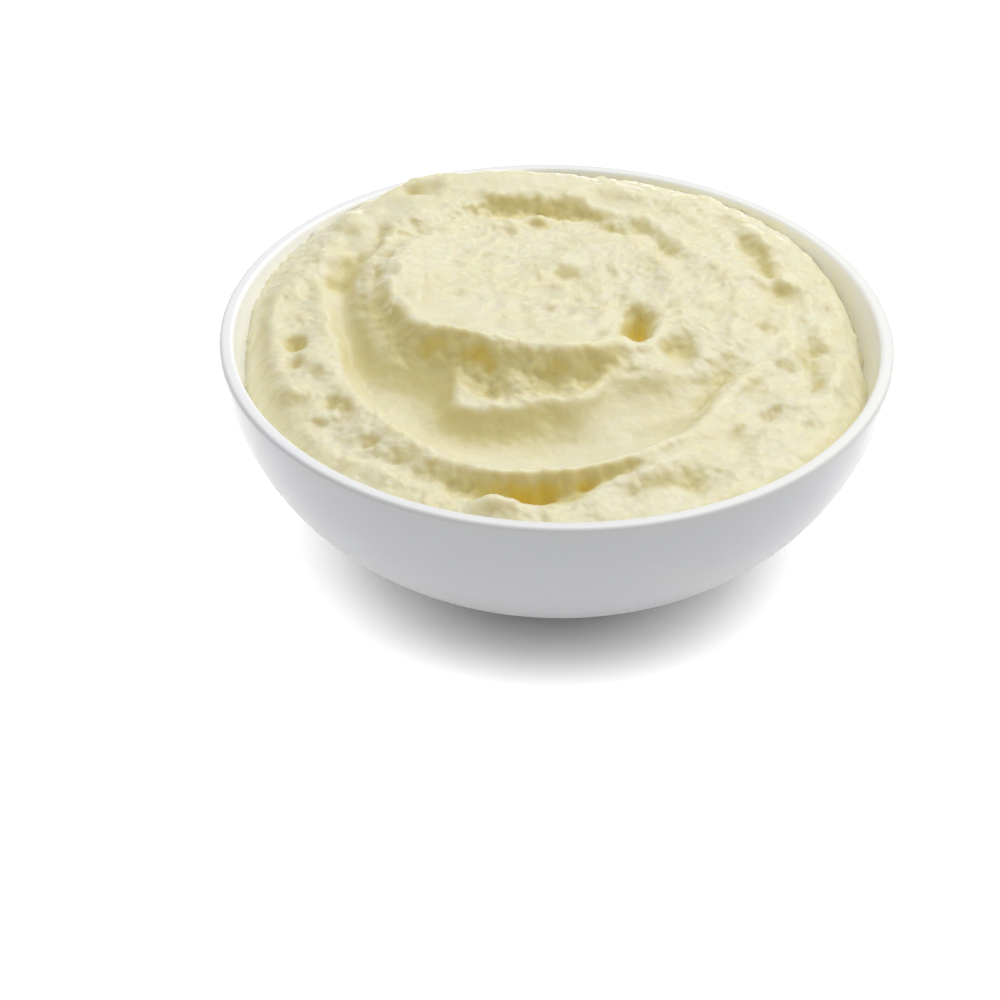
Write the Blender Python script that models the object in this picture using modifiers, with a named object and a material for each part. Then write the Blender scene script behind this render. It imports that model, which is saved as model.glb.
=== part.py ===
"""A side of mashed potato, worked with a spoon into a swirl, in its plain white bowl.

Metres, +Z up. The origin is the middle of the bowl's foot, on the surface it stands on.
The mash is laid out from above: +X is the diner's right and -Y is the diner's side.
"""

import math

import bmesh
import bpy
import numpy as np

COLLECTION = "mashed_potato_side"

# Bowl
BOWL_RADIUS = 0.080
BOWL_HEIGHT = 0.057
LIP_THICKNESS = 0.0035
LIP_ROUNDING = 0.0011
LIP_DROP = 0.0004
BODY_DEPTH = 0.0533
BODY_FLATNESS = 1.69
BODY_FULLNESS = 3.14
FLOOR_THICKNESS = 0.0046
FOOT_RADIUS = 0.0312
FOOT_WIDTH = 0.0036
FOOT_EDGE = 0.0007
RECESS_DEPTH = 0.0024
BOWL_SEGMENTS = 60
BOWL_BODY_STEPS = 9
BOWL_INSIDE_STEPS = 9
LIP_STEPS = 3

# Mash: how it fills the bowl. Heights in the relief are measured from the rim's top.
MASH_GAP = 0.0004
MASH_RINGS = 38
POINTS_PER_RING = 6
SIDE_RINGS = ((0.30, 120), (0.60, 80), (0.82, 48), (0.96, 24))
RELIEF_DEPTH = 0.009
MERGE = 0.00002

# How the mash meets the wall: (angle in degrees, height, width of its shoulder)
WALL_LINE = (
    (0, -0.0115, 0.0080),
    (20, -0.0075, 0.0080),
    (38, -0.0028, 0.0090),
    (60, -0.0025, 0.0110),
    (90, -0.0050, 0.0140),
    (106, -0.0030, 0.0110),
    (120, -0.0008, 0.0060),
    (150, -0.0033, 0.0080),
    (165, -0.0060, 0.0080),
    (182, -0.0120, 0.0080),
    (206, -0.0090, 0.0080),
    (232, -0.0045, 0.0070),
    (275, -0.0035, 0.0060),
    (318, -0.0040, 0.0060),
    (338, -0.0070, 0.0070),
)

# The swirl: tracks that the spoon left round a centre, from the basin outward.
# Each knot is (angle in degrees, distance from the swirl's centre, height).
SWIRL_CENTRE = (-0.004, 0.008)
BASIN_FLOOR = 0.0014
BASIN_CREST = (
    (0, 0.0310, 0.0040),
    (35, 0.0350, 0.0034),
    (60, 0.0340, 0.0032),
    (78, 0.0360, 0.0028),
    (95, 0.0380, 0.0028),
    (110, 0.0370, 0.0030),
    (135, 0.0380, 0.0045),
    (150, 0.0370, 0.0062),
    (165, 0.0310, 0.0074),
    (180, 0.0280, 0.0076),
    (201, 0.0275, 0.0076),
    (214, 0.0243, 0.0074),
    (232, 0.0222, 0.0072),
    (248, 0.0226, 0.0072),
    (258, 0.0206, 0.0068),
    (270, 0.0215, 0.0066),
    (284, 0.0238, 0.0063),
    (300, 0.0275, 0.0058),
    (314, 0.0270, 0.0052),
    (335, 0.0300, 0.0038),
)
FACE_FOOT = (
    (0, 0.0390, 0.0034),
    (35, 0.0385, 0.0026),
    (55, 0.0415, 0.0022),
    (70, 0.0385, 0.0020),
    (76, 0.0425, 0.0012),
    (84, 0.0425, 0.0008),
    (98, 0.0435, 0.0008),
    (108, 0.0445, 0.0012),
    (125, 0.0460, 0.0030),
    (140, 0.0450, 0.0030),
    (155, 0.0400, 0.0030),
    (180, 0.0340, 0.0030),
    (205, 0.0340, 0.0016),
    (218, 0.0365, 0.0000),
    (229, 0.0310, 0.0012),
    (245, 0.0330, -0.0010),
    (257, 0.0365, -0.0010),
    (270, 0.0330, -0.0004),
    (287, 0.0335, 0.0000),
    (299, 0.0300, 0.0010),
    (316, 0.0330, 0.0015),
    (336, 0.0385, 0.0022),
)
TERRACE_CREST = (
    (0, 0.0490, 0.0038),
    (15, 0.0500, 0.0038),
    (40, 0.0432, 0.0040),
    (54, 0.0462, 0.0040),
    (66, 0.0452, 0.0038),
    (73, 0.0445, 0.0036),
    (80, 0.0490, 0.0050),
    (90, 0.0482, 0.0052),
    (104, 0.0485, 0.0052),
    (118, 0.0500, 0.0044),
    (135, 0.0520, 0.0036),
    (155, 0.0450, 0.0030),
    (180, 0.0385, 0.0018),
    (205, 0.0400, 0.0004),
    (218, 0.0395, -0.0004),
    (228, 0.0335, 0.0020),
    (236, 0.0355, 0.0010),
    (247, 0.0435, 0.0002),
    (258, 0.0410, 0.0001),
    (272, 0.0372, 0.0003),
    (283, 0.0388, 0.0003),
    (300, 0.0340, 0.0011),
    (318, 0.0400, 0.0008),
    (333, 0.0450, 0.0016),
    (347, 0.0490, 0.0030),
)
TROUGH = (
    (0, 0.0570, 0.0012),
    (20, 0.0570, 0.0018),
    (45, 0.0500, 0.0030),
    (60, 0.0500, 0.0028),
    (72, 0.0480, 0.0026),
    (80, 0.0525, 0.0054),
    (92, 0.0520, 0.0060),
    (105, 0.0530, 0.0058),
    (120, 0.0570, 0.0055),
    (138, 0.0580, 0.0026),
    (155, 0.0530, 0.0008),
    (180, 0.0465, -0.0006),
    (210, 0.0490, -0.0034),
    (240, 0.0520, -0.0058),
    (270, 0.0510, -0.0066),
    (300, 0.0520, -0.0046),
    (320, 0.0500, -0.0026),
    (335, 0.0515, -0.0008),
    (348, 0.0560, 0.0006),
)
OUTER_RIDGE = (
    (0, 0.0620, 0.0010),
    (25, 0.0630, 0.0022),
    (45, 0.0580, 0.0042),
    (58, 0.0570, 0.0046),
    (68, 0.0545, 0.0050),
    (90, 0.0565, 0.0056),
    (105, 0.0580, 0.0054),
    (118, 0.0625, 0.0050),
    (138, 0.0640, 0.0022),
    (155, 0.0580, 0.0012),
    (180, 0.0512, 0.0012),
    (195, 0.0510, 0.0012),
    (210, 0.0535, 0.0010),
    (225, 0.0560, 0.0010),
    (240, 0.0605, 0.0010),
    (255, 0.0655, 0.0012),
    (270, 0.0662, 0.0012),
    (285, 0.0640, 0.0012),
    (300, 0.0605, 0.0010),
    (318, 0.0560, 0.0008),
    (333, 0.0545, 0.0010),
    (348, 0.0600, 0.0008),
)
RIDGE_FOOT = (
    (0, 0.0680, -0.0006),
    (30, 0.0670, 0.0018),
    (60, 0.0630, 0.0040),
    (90, 0.0610, 0.0048),
    (105, 0.0640, 0.0046),
    (120, 0.0690, 0.0038),
    (150, 0.0620, 0.0008),
    (180, 0.0560, 0.0000),
    (208, 0.0585, -0.0002),
    (224, 0.0660, -0.0010),
    (240, 0.0700, -0.0016),
    (252, 0.0720, -0.0030),
    (262, 0.0715, -0.0052),
    (270, 0.0700, -0.0056),
    (280, 0.0672, -0.0044),
    (292, 0.0650, -0.0016),
    (305, 0.0640, -0.0008),
    (330, 0.0600, -0.0008),
)
OUTER_RING = (
    (0, 0.0720, -0.0006),
    (30, 0.0730, 0.0012),
    (60, 0.0680, 0.0030),
    (90, 0.0650, 0.0042),
    (105, 0.0680, 0.0038),
    (120, 0.0730, 0.0026),
    (150, 0.0680, 0.0002),
    (180, 0.0620, 0.0000),
    (210, 0.0660, -0.0006),
    (240, 0.0745, -0.0016),
    (262, 0.0775, -0.0022),
    (280, 0.0760, -0.0024),
    (300, 0.0720, -0.0016),
    (330, 0.0690, -0.0014),
)
TRACKS = (BASIN_CREST, FACE_FOOT, TERRACE_CREST, TROUGH, OUTER_RIDGE, RIDGE_FOOT, OUTER_RING)
LEAST_BAND = 0.001
# How the surface runs up to each track: the power of a hollow's rise, of a crest's fall, or an S-curve.
BASIN_RISE = 2.6
TROUGH_FALL = 1.9
RIDGE_RISE = 1.7
# How torn the mash is on the way to each track and past the last one, from 0, spooned smooth, to 1.
TORN = (0.25, 1.0, 0.7, 0.1, 0.12, 0.7, 0.6, 0.6)
# The diner's right is torn all through: how much, round which angle, and where that starts to fade.
TORN_SIDE = 0.7
TORN_SIDE_ANGLE = 10.0
TORN_SIDE_SPREAD = (1.6, -0.5)

# Creases and folds off the tracks: (start x, start y, end x, end y, bow, half width, height)
STROKES = (
    (0.0583, 0.0180, 0.0600, -0.0260, 0.0008, 0.0018, -0.0020),
    (0.0448, 0.0360, 0.0525, 0.0235, 0.0000, 0.0020, -0.0020),
    (0.0495, 0.0195, 0.0580, 0.0138, 0.0000, 0.0016, -0.0026),
    (0.0380, 0.0495, 0.0460, 0.0440, 0.0000, 0.0018, -0.0016),
    (-0.0405, 0.0190, -0.0355, 0.0010, 0.0000, 0.0016, -0.0020),
    (-0.0410, 0.0560, -0.0285, 0.0580, 0.0000, 0.0018, -0.0022),
    (-0.0435, 0.0410, -0.0485, 0.0220, 0.0010, 0.0022, -0.0018),
    (-0.0570, 0.0185, -0.0495, 0.0160, 0.0000, 0.0020, -0.0018),
    (-0.0510, -0.0495, -0.0320, -0.0530, 0.0000, 0.0018, -0.0014),
    (0.0030, -0.0655, 0.0265, -0.0560, 0.0010, 0.0036, 0.0022),
)

STROKE_ENDS = 0.25

# Dips and lumps: (x, y, radius across, radius along, turn in degrees, height)
MARKS = (
    (0.0205, 0.0000, 0.0054, 0.0074, 0, -0.0078),
    (0.0310, -0.0070, 0.0046, 0.0060, 0, -0.0036),
    (-0.0612, -0.0073, 0.0028, 0.0032, 0, -0.0036),
    (-0.0615, -0.0152, 0.0026, 0.0028, 0, -0.0028),
    (-0.0522, -0.0335, 0.0020, 0.0022, 0, -0.0024),
    (-0.0530, -0.0390, 0.0042, 0.0022, 0, -0.0016),
    (-0.0421, -0.0469, 0.0028, 0.0016, 30, -0.0018),
    (-0.0590, -0.0270, 0.0050, 0.0040, 0, 0.0012),
    (-0.0687, 0.0005, 0.0030, 0.0080, 0, 0.0008),
    (-0.0518, 0.0440, 0.0045, 0.0040, 0, 0.0018),
    (-0.0555, 0.0290, 0.0050, 0.0035, 0, 0.0016),
    (-0.0600, 0.0215, 0.0035, 0.0035, 0, 0.0010),
    (-0.0360, 0.0500, 0.0042, 0.0036, 0, 0.0016),
    (-0.0389, 0.0415, 0.0035, 0.0030, 0, 0.0010),
    (-0.0310, 0.0480, 0.0045, 0.0035, 0, 0.0010),
    (-0.0329, 0.0640, 0.0075, 0.0045, 20, 0.0012),
    (-0.0150, 0.0640, 0.0100, 0.0045, 0, 0.0010),
    (-0.0122, 0.0430, 0.0040, 0.0024, 0, 0.0016),
    (-0.0049, 0.0465, 0.0030, 0.0022, 0, 0.0016),
    (0.0003, 0.0265, 0.0060, 0.0030, 20, 0.0010),
    (0.0040, 0.0206, 0.0050, 0.0026, 20, -0.0008),
    (-0.0242, 0.0120, 0.0024, 0.0022, 0, -0.0012),
    (0.0101, -0.0060, 0.0042, 0.0032, 0, -0.0018),
    (0.0507, 0.0400, 0.0060, 0.0045, -40, 0.0016),
    (0.0559, 0.0205, 0.0045, 0.0030, -30, 0.0018),
    (0.0465, 0.0220, 0.0042, 0.0030, -30, 0.0012),
    (0.0495, 0.0013, 0.0026, 0.0026, 0, -0.0016),
    (0.0544, -0.0072, 0.0035, 0.0060, 0, 0.0010),
    (0.0640, 0.0013, 0.0032, 0.0060, 0, 0.0016),
    (0.0674, 0.0145, 0.0032, 0.0050, 15, 0.0012),
    (0.0655, -0.0160, 0.0036, 0.0060, -15, 0.0014),
    (0.0540, -0.0253, 0.0050, 0.0050, 0, 0.0012),
    (0.0600, -0.0345, 0.0022, 0.0022, 0, -0.0016),
    (0.0483, -0.0316, 0.0050, 0.0030, 40, -0.0012),
    (0.0416, -0.0430, 0.0060, 0.0045, 40, -0.0014),
    (0.0252, -0.0550, 0.0048, 0.0036, 0, 0.0012),
    (0.0316, -0.0595, 0.0042, 0.0060, -20, -0.0020),
    (-0.0130, -0.0685, 0.0070, 0.0028, 0, 0.0016),
    (-0.0060, -0.0645, 0.0036, 0.0026, 0, -0.0030),
)
MARK_STEEPNESS = 3.0

# The hand's unevenness: size and depth of the drift sideways, and of the lumps
DRIFTS = ((0.016, 0.0012), (0.006, 0.0005))
LUMPS = ((0.0075, 0.0007), (0.0040, 0.0004))
LATTICE = 64
NOISE_GAIN = 1.6
DRIFT_X_SEED = 7
DRIFT_Y_SEED = 17
LUMP_SEED = 27


def round_track(knots, angle):
    """A track's values at any angle in radians, as a closed Catmull-Rom curve through its knots."""
    at = np.array([knot[0] for knot in knots], dtype=float)
    values = np.array([knot[1:] for knot in knots], dtype=float)
    turn = np.degrees(angle) % 360.0
    after = np.searchsorted(at, turn, side="right") % len(at)
    before = after - 1
    t = ((turn - at[before]) % 360.0) / ((at[after] - at[before]) % 360.0)
    t = t[..., None]
    p0, p1, p2, p3 = values[before - 1], values[before], values[after], values[(after + 1) % len(at)]
    curve = 2 * p1 + (p2 - p0) * t + (2 * p0 - 5 * p1 + 4 * p2 - p3) * t**2
    curve += (3 * p1 - p0 - 3 * p2 + p3) * t**3
    return curve / 2


def ramp(t):
    """Smooth step from 0 to 1."""
    t = np.clip(t, 0.0, 1.0)
    return t * t * (3 - 2 * t)


def noise(x, y, size, seed):
    """Smooth noise between about -1 and 1, with hills of a given size."""
    turns = np.random.default_rng(seed).uniform(0, 2 * math.pi, (LATTICE, LATTICE))
    u, v = x / size, y / size
    i, j = np.floor(u).astype(int), np.floor(v).astype(int)
    s, t = u - i, v - j
    total = np.zeros_like(u)
    for a in (0, 1):
        for b in (0, 1):
            turn = turns[(i + a) % LATTICE, (j + b) % LATTICE]
            hill = np.cos(turn) * (s - a) + np.sin(turn) * (t - b)
            total += hill * ramp(1 - abs(s - a)) * ramp(1 - abs(t - b))
    return NOISE_GAIN * total


def band_heights(distance, inner_radius, outer_radius, inner_height, outer_height, track):
    """Heights between two tracks. Crests stay sharp, and the basin and the trough are hollow."""
    t = np.clip((distance - inner_radius) / (outer_radius - inner_radius), 0.0, 1.0)
    if track is BASIN_CREST:
        share = t**BASIN_RISE
    elif track is TROUGH:
        share = 1 - (1 - t) ** TROUGH_FALL
    elif track is OUTER_RIDGE:
        share = t**RIDGE_RISE
    else:
        share = ramp(t)
    return inner_height + (outer_height - inner_height) * share


def swirl(x, y):
    """Height of the spoon's tracks at a place, and how torn the mash is there."""
    dx, dy = x - SWIRL_CENTRE[0], y - SWIRL_CENTRE[1]
    distance, angle = np.hypot(dx, dy), np.arctan2(dy, dx)
    inner_radius = np.zeros_like(x)
    inner_height = np.full_like(x, BASIN_FLOOR)
    height, torn = inner_height, np.full_like(x, TORN[0])
    for track, tearing in zip(TRACKS, TORN):
        radius, level = np.moveaxis(round_track(track, angle), -1, 0)
        radius = np.maximum(radius, inner_radius + LEAST_BAND)
        band = band_heights(distance, inner_radius, radius, inner_height, level, track)
        height = np.where(distance >= inner_radius, band, height)
        torn = np.where(distance >= inner_radius, tearing, torn)
        inner_radius, inner_height = radius, level
    height = np.where(distance >= inner_radius, inner_height, height)
    torn = np.where(distance >= inner_radius, TORN[-1], torn)
    facing = np.cos(angle - math.radians(TORN_SIDE_ANGLE))
    side = TORN_SIDE * ramp(TORN_SIDE_SPREAD[0] * facing + TORN_SIDE_SPREAD[1])
    return height, np.maximum(torn, side)


def stroke_height(x, y):
    """Creases and folds, each along a bowed line that fades at its ends."""
    height = np.zeros_like(x)
    for start_x, start_y, end_x, end_y, bow, half_width, size in STROKES:
        length = math.hypot(end_x - start_x, end_y - start_y)
        ux, uy = (end_x - start_x) / length, (end_y - start_y) / length
        t = ((x - start_x) * ux + (y - start_y) * uy) / length
        aside = (y - start_y) * ux - (x - start_x) * uy - bow * 4 * t * (1 - t)
        fade = ramp(t / STROKE_ENDS) * ramp((1 - t) / STROKE_ENDS)
        height += size * fade * np.exp(-((aside / half_width) ** 2))
    return height


def mark_height(x, y):
    """Dips and lumps beside the tracks."""
    height = np.zeros_like(x)
    for mark_x, mark_y, across, along, turn, size in MARKS:
        c, s = math.cos(math.radians(turn)), math.sin(math.radians(turn))
        u = (c * (x - mark_x) + s * (y - mark_y)) / across
        v = (c * (y - mark_y) - s * (x - mark_x)) / along
        height += size * np.exp(-(np.hypot(u, v) ** MARK_STEEPNESS))
    return height


def relief(x, y):
    """The worked surface before it meets the wall."""
    warped_x, warped_y = x.copy(), y.copy()
    for order, (size, reach) in enumerate(DRIFTS):
        warped_x += reach * noise(x, y, size, DRIFT_X_SEED + order)
        warped_y += reach * noise(y, x, size, DRIFT_Y_SEED + order)
    height, torn = swirl(warped_x, warped_y)
    for order, (size, depth) in enumerate(LUMPS):
        height = height + torn * depth * noise(x, y, size, LUMP_SEED + order)
    return height + stroke_height(x, y) + mark_height(x, y)


def inner_wall_radius(depth):
    """Radius of the bowl's inside at a depth below the rim's top."""
    share = np.clip((depth - LIP_DROP) / (BODY_DEPTH - FLOOR_THICKNESS), 0.0, 1.0)
    return (BOWL_RADIUS - LIP_THICKNESS) * (1 - share**BODY_FLATNESS) ** (1 / BODY_FULLNESS)


def mash_edge(angle):
    """Radius and height of the line where the mash meets the wall, and the shoulder's width there."""
    height, shoulder = np.moveaxis(round_track(WALL_LINE, angle), -1, 0)
    return inner_wall_radius(-height) - MASH_GAP, height, shoulder


def mash_height(x, y):
    """Height of the mash over the rim's top at a place seen from above."""
    distance, angle = np.hypot(x, y), np.arctan2(y, x)
    edge_radius, edge_height, shoulder_width = mash_edge(angle)
    inside = np.clip((edge_radius - distance) / shoulder_width, 0.0, 1.0)
    shoulder = np.sqrt(1 - (1 - inside) ** 2)
    return edge_height + (relief(x, y) - edge_height) * shoulder


def arc(centre_x, centre_z, radius, start, end, steps):
    """Points of a round corner in the bowl's section, angles in degrees."""
    points = []
    for i in range(steps + 1):
        angle = math.radians(start + (end - start) * i / steps)
        points.append((centre_x + radius * math.cos(angle), centre_z + radius * math.sin(angle)))
    return points


def body_radius(depth):
    """Radius of the bowl's outside at a depth below the rim's top."""
    share = min(max((depth - LIP_DROP) / BODY_DEPTH, 0.0), 1.0)
    return BOWL_RADIUS * (1 - share**BODY_FLATNESS) ** (1 / BODY_FULLNESS)


def depth_at_body_radius(radius):
    """Depth at which the bowl's outside has a given radius."""
    return LIP_DROP + BODY_DEPTH * (1 - (radius / BOWL_RADIUS) ** BODY_FULLNESS) ** (1 / BODY_FLATNESS)


def bowl_section():
    """Closed section of the bowl, from the lip down the outside and up the inside."""
    lip_outer = BOWL_RADIUS - LIP_ROUNDING
    lip_inner = BOWL_RADIUS - LIP_THICKNESS + LIP_ROUNDING
    section = arc(lip_outer, -LIP_ROUNDING, LIP_ROUNDING, 90, 0, LIP_STEPS)
    foot_top = depth_at_body_radius(FOOT_RADIUS)
    for i in range(1, BOWL_BODY_STEPS + 1):
        share = math.sin(0.5 * math.pi * i / BOWL_BODY_STEPS)
        depth = LIP_ROUNDING + (foot_top - LIP_ROUNDING) * share
        section.append((body_radius(depth), -depth))
    foot_inner = FOOT_RADIUS - FOOT_WIDTH
    section += [
        (FOOT_RADIUS, -BOWL_HEIGHT + FOOT_EDGE),
        (FOOT_RADIUS - FOOT_EDGE, -BOWL_HEIGHT),
        (foot_inner, -BOWL_HEIGHT),
        (foot_inner - FOOT_EDGE, -BOWL_HEIGHT + RECESS_DEPTH),
        (0.0, -BOWL_HEIGHT + RECESS_DEPTH),
    ]
    inside_depth = LIP_DROP + BODY_DEPTH - FLOOR_THICKNESS
    for i in range(BOWL_INSIDE_STEPS):
        share = math.cos(0.5 * math.pi * i / BOWL_INSIDE_STEPS)
        depth = LIP_ROUNDING + (inside_depth - LIP_ROUNDING) * share
        section.append((float(inner_wall_radius(depth)), -depth))
    return section + arc(lip_inner, -LIP_ROUNDING, LIP_ROUNDING, 180, 90, LIP_STEPS)


def make_material(name, colour, roughness):
    material = bpy.data.materials.new(name)
    material.use_nodes = True
    shader = material.node_tree.nodes["Principled BSDF"]
    shader.inputs["Base Color"].default_value = (*colour, 1.0)
    shader.inputs["Roughness"].default_value = roughness
    shader.inputs["Metallic"].default_value = 0.0
    return material


def add_object(name, mesh, collection, material):
    thing = bpy.data.objects.new(name, mesh)
    mesh.materials.append(material)
    mesh.shade_smooth()
    collection.objects.link(thing)
    return thing


def make_bowl(collection):
    """Bowl, turned from its section."""
    section = bowl_section()
    mesh = bpy.data.meshes.new("bowl")
    vertices = [(r, 0.0, BOWL_HEIGHT + z) for r, z in section]
    edges = [(i, (i + 1) % len(vertices)) for i in range(len(vertices))]
    axis_edge = next(i for i, (a, b) in enumerate(edges) if section[a][0] + section[b][0] < MERGE)
    del edges[axis_edge]
    mesh.from_pydata(vertices, edges, [])
    bowl = add_object("bowl", mesh, collection, make_material("glazed_white", (0.80, 0.81, 0.82), 0.35))
    screw = bowl.modifiers.new("turn", "SCREW")
    screw.steps = BOWL_SEGMENTS
    screw.render_steps = BOWL_SEGMENTS
    screw.use_merge_vertices = True
    screw.merge_threshold = MERGE
    return bowl


def mash_rings():
    """Rings of points of the mash, from the middle of its top, over its shoulder, to its underside."""
    rings = []
    for ring in range(1, MASH_RINGS + 1):
        angles = np.arange(ring * POINTS_PER_RING) * 2 * math.pi / (ring * POINTS_PER_RING)
        edge_radius = mash_edge(angles)[0]
        x = np.cos(angles) * edge_radius * ring / MASH_RINGS
        y = np.sin(angles) * edge_radius * ring / MASH_RINGS
        rings.append((angles, np.column_stack([x, y, mash_height(x, y)])))
    bottom = -(LIP_DROP + BODY_DEPTH - FLOOR_THICKNESS) + MASH_GAP
    for share, count in SIDE_RINGS:
        angles = np.arange(count) * 2 * math.pi / count
        edge_height = mash_edge(angles)[1]
        height = edge_height + (bottom - edge_height) * share
        radius = inner_wall_radius(-height + MASH_GAP) - MASH_GAP
        rings.append((angles, np.column_stack([np.cos(angles) * radius, np.sin(angles) * radius, height])))
    return rings, bottom


def bridge(mesh, inner, inner_angles, outer, outer_angles):
    """Triangles between two rings of unlike counts, each taken in order of angle."""
    i, j = 0, 0
    while i < len(inner) or j < len(outer):
        next_inner = inner_angles[i + 1] if i + 1 < len(inner) else 2 * math.pi
        next_outer = outer_angles[j + 1] if j + 1 < len(outer) else 2 * math.pi
        a, b = inner[i % len(inner)], outer[j % len(outer)]
        if j < len(outer) and (i >= len(inner) or next_outer <= next_inner):
            mesh.faces.new((a, b, outer[(j + 1) % len(outer)]))
            j += 1
        else:
            mesh.faces.new((a, b, inner[(i + 1) % len(inner)]))
            i += 1


def make_mash(collection):
    """Mash: a relief over the bowl, lofted ring by ring, closed underneath along the bowl's inside."""
    rings, bottom = mash_rings()
    relief_floor = BOWL_HEIGHT - RELIEF_DEPTH
    mesh = bmesh.new()
    lift = np.array([0.0, 0.0, BOWL_HEIGHT])
    top = mesh.verts.new(np.array([0.0, 0.0, float(mash_height(np.zeros(1), np.zeros(1))[0])]) + lift)
    loops = [(angles, [mesh.verts.new(point + lift) for point in points]) for angles, points in rings]
    base = mesh.verts.new(np.array([0.0, 0.0, bottom]) + lift)
    first, last = loops[0][1], loops[-1][1]
    for i in range(len(first)):
        mesh.faces.new((top, first[i], first[(i + 1) % len(first)]))
    for (inner_angles, inner), (outer_angles, outer) in zip(loops, loops[1:]):
        bridge(mesh, inner, inner_angles, outer, outer_angles)
    for i in range(len(last)):
        mesh.faces.new((last[i], base, last[(i + 1) % len(last)]))
    mesh.normal_update()
    along_crests = [edge for edge in mesh.edges if all(v.co.z > relief_floor for v in edge.verts)]
    bmesh.ops.beautify_fill(mesh, faces=mesh.faces[:], edges=along_crests, method="ANGLE")
    data = bpy.data.meshes.new("mashed_potato")
    mesh.to_mesh(data)
    mesh.free()
    return add_object("mashed_potato", data, collection, make_material("potato", (0.80, 0.70, 0.42), 0.6))


def main():
    for thing in list(bpy.data.objects):
        bpy.data.objects.remove(thing, do_unlink=True)
    collection = bpy.data.collections.new(COLLECTION)
    bpy.context.scene.collection.children.link(collection)
    make_bowl(collection)
    make_mash(collection)


main()
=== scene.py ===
"""A side of mashed potato in its white bowl: the detailed mash, the glazed bowl, light and camera.

Metres, +Z up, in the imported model's frame: the origin is the middle of the bowl's foot.
The mash repeats the relief of its solid, with some tracks and marks a little moved to suit the photo,
and adds streaks, folds, lumps, pits, crumbs and grain that are too fine for the solid.
"""

import itertools
import math

import bpy
import numpy as np
from mathutils import Matrix, Vector


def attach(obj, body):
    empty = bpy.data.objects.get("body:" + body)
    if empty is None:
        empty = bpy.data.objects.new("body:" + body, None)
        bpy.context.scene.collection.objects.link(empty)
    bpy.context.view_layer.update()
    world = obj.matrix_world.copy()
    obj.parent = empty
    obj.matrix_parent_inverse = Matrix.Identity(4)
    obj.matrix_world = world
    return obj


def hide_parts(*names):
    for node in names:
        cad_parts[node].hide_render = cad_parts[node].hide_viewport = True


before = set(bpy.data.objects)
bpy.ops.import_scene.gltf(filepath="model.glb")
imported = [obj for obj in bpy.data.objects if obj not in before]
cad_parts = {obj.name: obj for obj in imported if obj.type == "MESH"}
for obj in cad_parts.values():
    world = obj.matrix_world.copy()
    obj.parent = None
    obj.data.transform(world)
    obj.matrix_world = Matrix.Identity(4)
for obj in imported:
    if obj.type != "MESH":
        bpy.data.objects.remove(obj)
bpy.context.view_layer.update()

# Bowl
BOWL_RADIUS = 0.08
BOWL_HEIGHT = 0.057
LIP_THICKNESS = 0.0035
LIP_ROUNDING = 0.0011
LIP_DROP = 0.0004
BODY_DEPTH = 0.0533
BODY_FLATNESS = 1.69
BODY_FULLNESS = 3.14
FLOOR_THICKNESS = 0.0046
FOOT_RADIUS = 0.0312
FOOT_WIDTH = 0.0036
FOOT_EDGE = 0.0007
RECESS_DEPTH = 0.0024
BOWL_SEGMENTS = 192
BOWL_BODY_STEPS = 40
BOWL_INSIDE_STEPS = 48
LIP_STEPS = 8

# Mash: how it fills the bowl. Heights in the relief are measured from the rim's top.
MASH_GAP = 0.0004
POINTS_PER_RING = 6
# Rings below its edge: (share of the way down, how many points)
SIDE_RINGS = ((0.3, 120), (0.6, 80), (0.82, 48), (0.96, 24))
# No part of its top lies deeper than this
RELIEF_DEPTH = 0.016
# Points nearer the axis than this are on it
MERGE = 0.00002
# Least length to divide by
TINY = 1e-12

# How the mash meets the wall: (angle in degrees, height, width of its shoulder)
WALL_LINE = (
    (0, -0.0125, 0.008), (20, -0.0087, 0.008), (38, -0.0038, 0.009), (60, -0.0025, 0.011),
    (90, -0.005, 0.014), (106, -0.003, 0.011), (120, -0.0008, 0.006), (150, -0.0033, 0.008),
    (165, -0.006, 0.008), (182, -0.012, 0.008), (206, -0.009, 0.008), (232, -0.0045, 0.007),
    (275, -0.0035, 0.006), (318, -0.004, 0.006), (338, -0.0082, 0.007),
)

# The swirl: tracks that the spoon left round a centre, from the basin outward.
# Each knot is (angle in degrees, distance from the swirl's centre, height).
SWIRL_CENTRE = (-0.004, 0.008)
BASIN_FLOOR = 0.0014
BASIN_CREST = (
    (0, 0.031, 0.004), (35, 0.035, 0.0034), (60, 0.034, 0.0032), (78, 0.036, 0.0028),
    (95, 0.038, 0.0028), (110, 0.037, 0.003), (135, 0.0385, 0.0045), (150, 0.0378, 0.0056),
    (165, 0.0355, 0.0062), (180, 0.0335, 0.0066), (201, 0.0328, 0.0068), (214, 0.0312, 0.0069),
    (232, 0.0266, 0.0069), (248, 0.0248, 0.0069), (258, 0.0236, 0.0066), (270, 0.024, 0.0064),
    (284, 0.0254, 0.0061), (300, 0.0275, 0.0058), (314, 0.027, 0.0047), (335, 0.03, 0.0038),
)
FACE_FOOT = (
    (0, 0.039, 0.0034), (35, 0.0385, 0.0026), (55, 0.0415, 0.0022), (70, 0.0385, 0.002),
    (76, 0.0425, 0.0012), (84, 0.0425, 0.0008), (98, 0.0435, 0.0008), (108, 0.0445, 0.0012),
    (125, 0.046, 0.003), (140, 0.045, 0.003), (155, 0.044, 0.004), (180, 0.0405, 0.0032),
    (205, 0.0395, 0.002), (218, 0.0383, 0.0008), (229, 0.0335, 0.002), (245, 0.0346, 0),
    (257, 0.0368, -0.0004), (270, 0.0335, 0), (287, 0.0335, 0), (299, 0.031, 0.0022),
    (316, 0.0335, 0.0028), (336, 0.0385, 0.0026),
)
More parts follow.
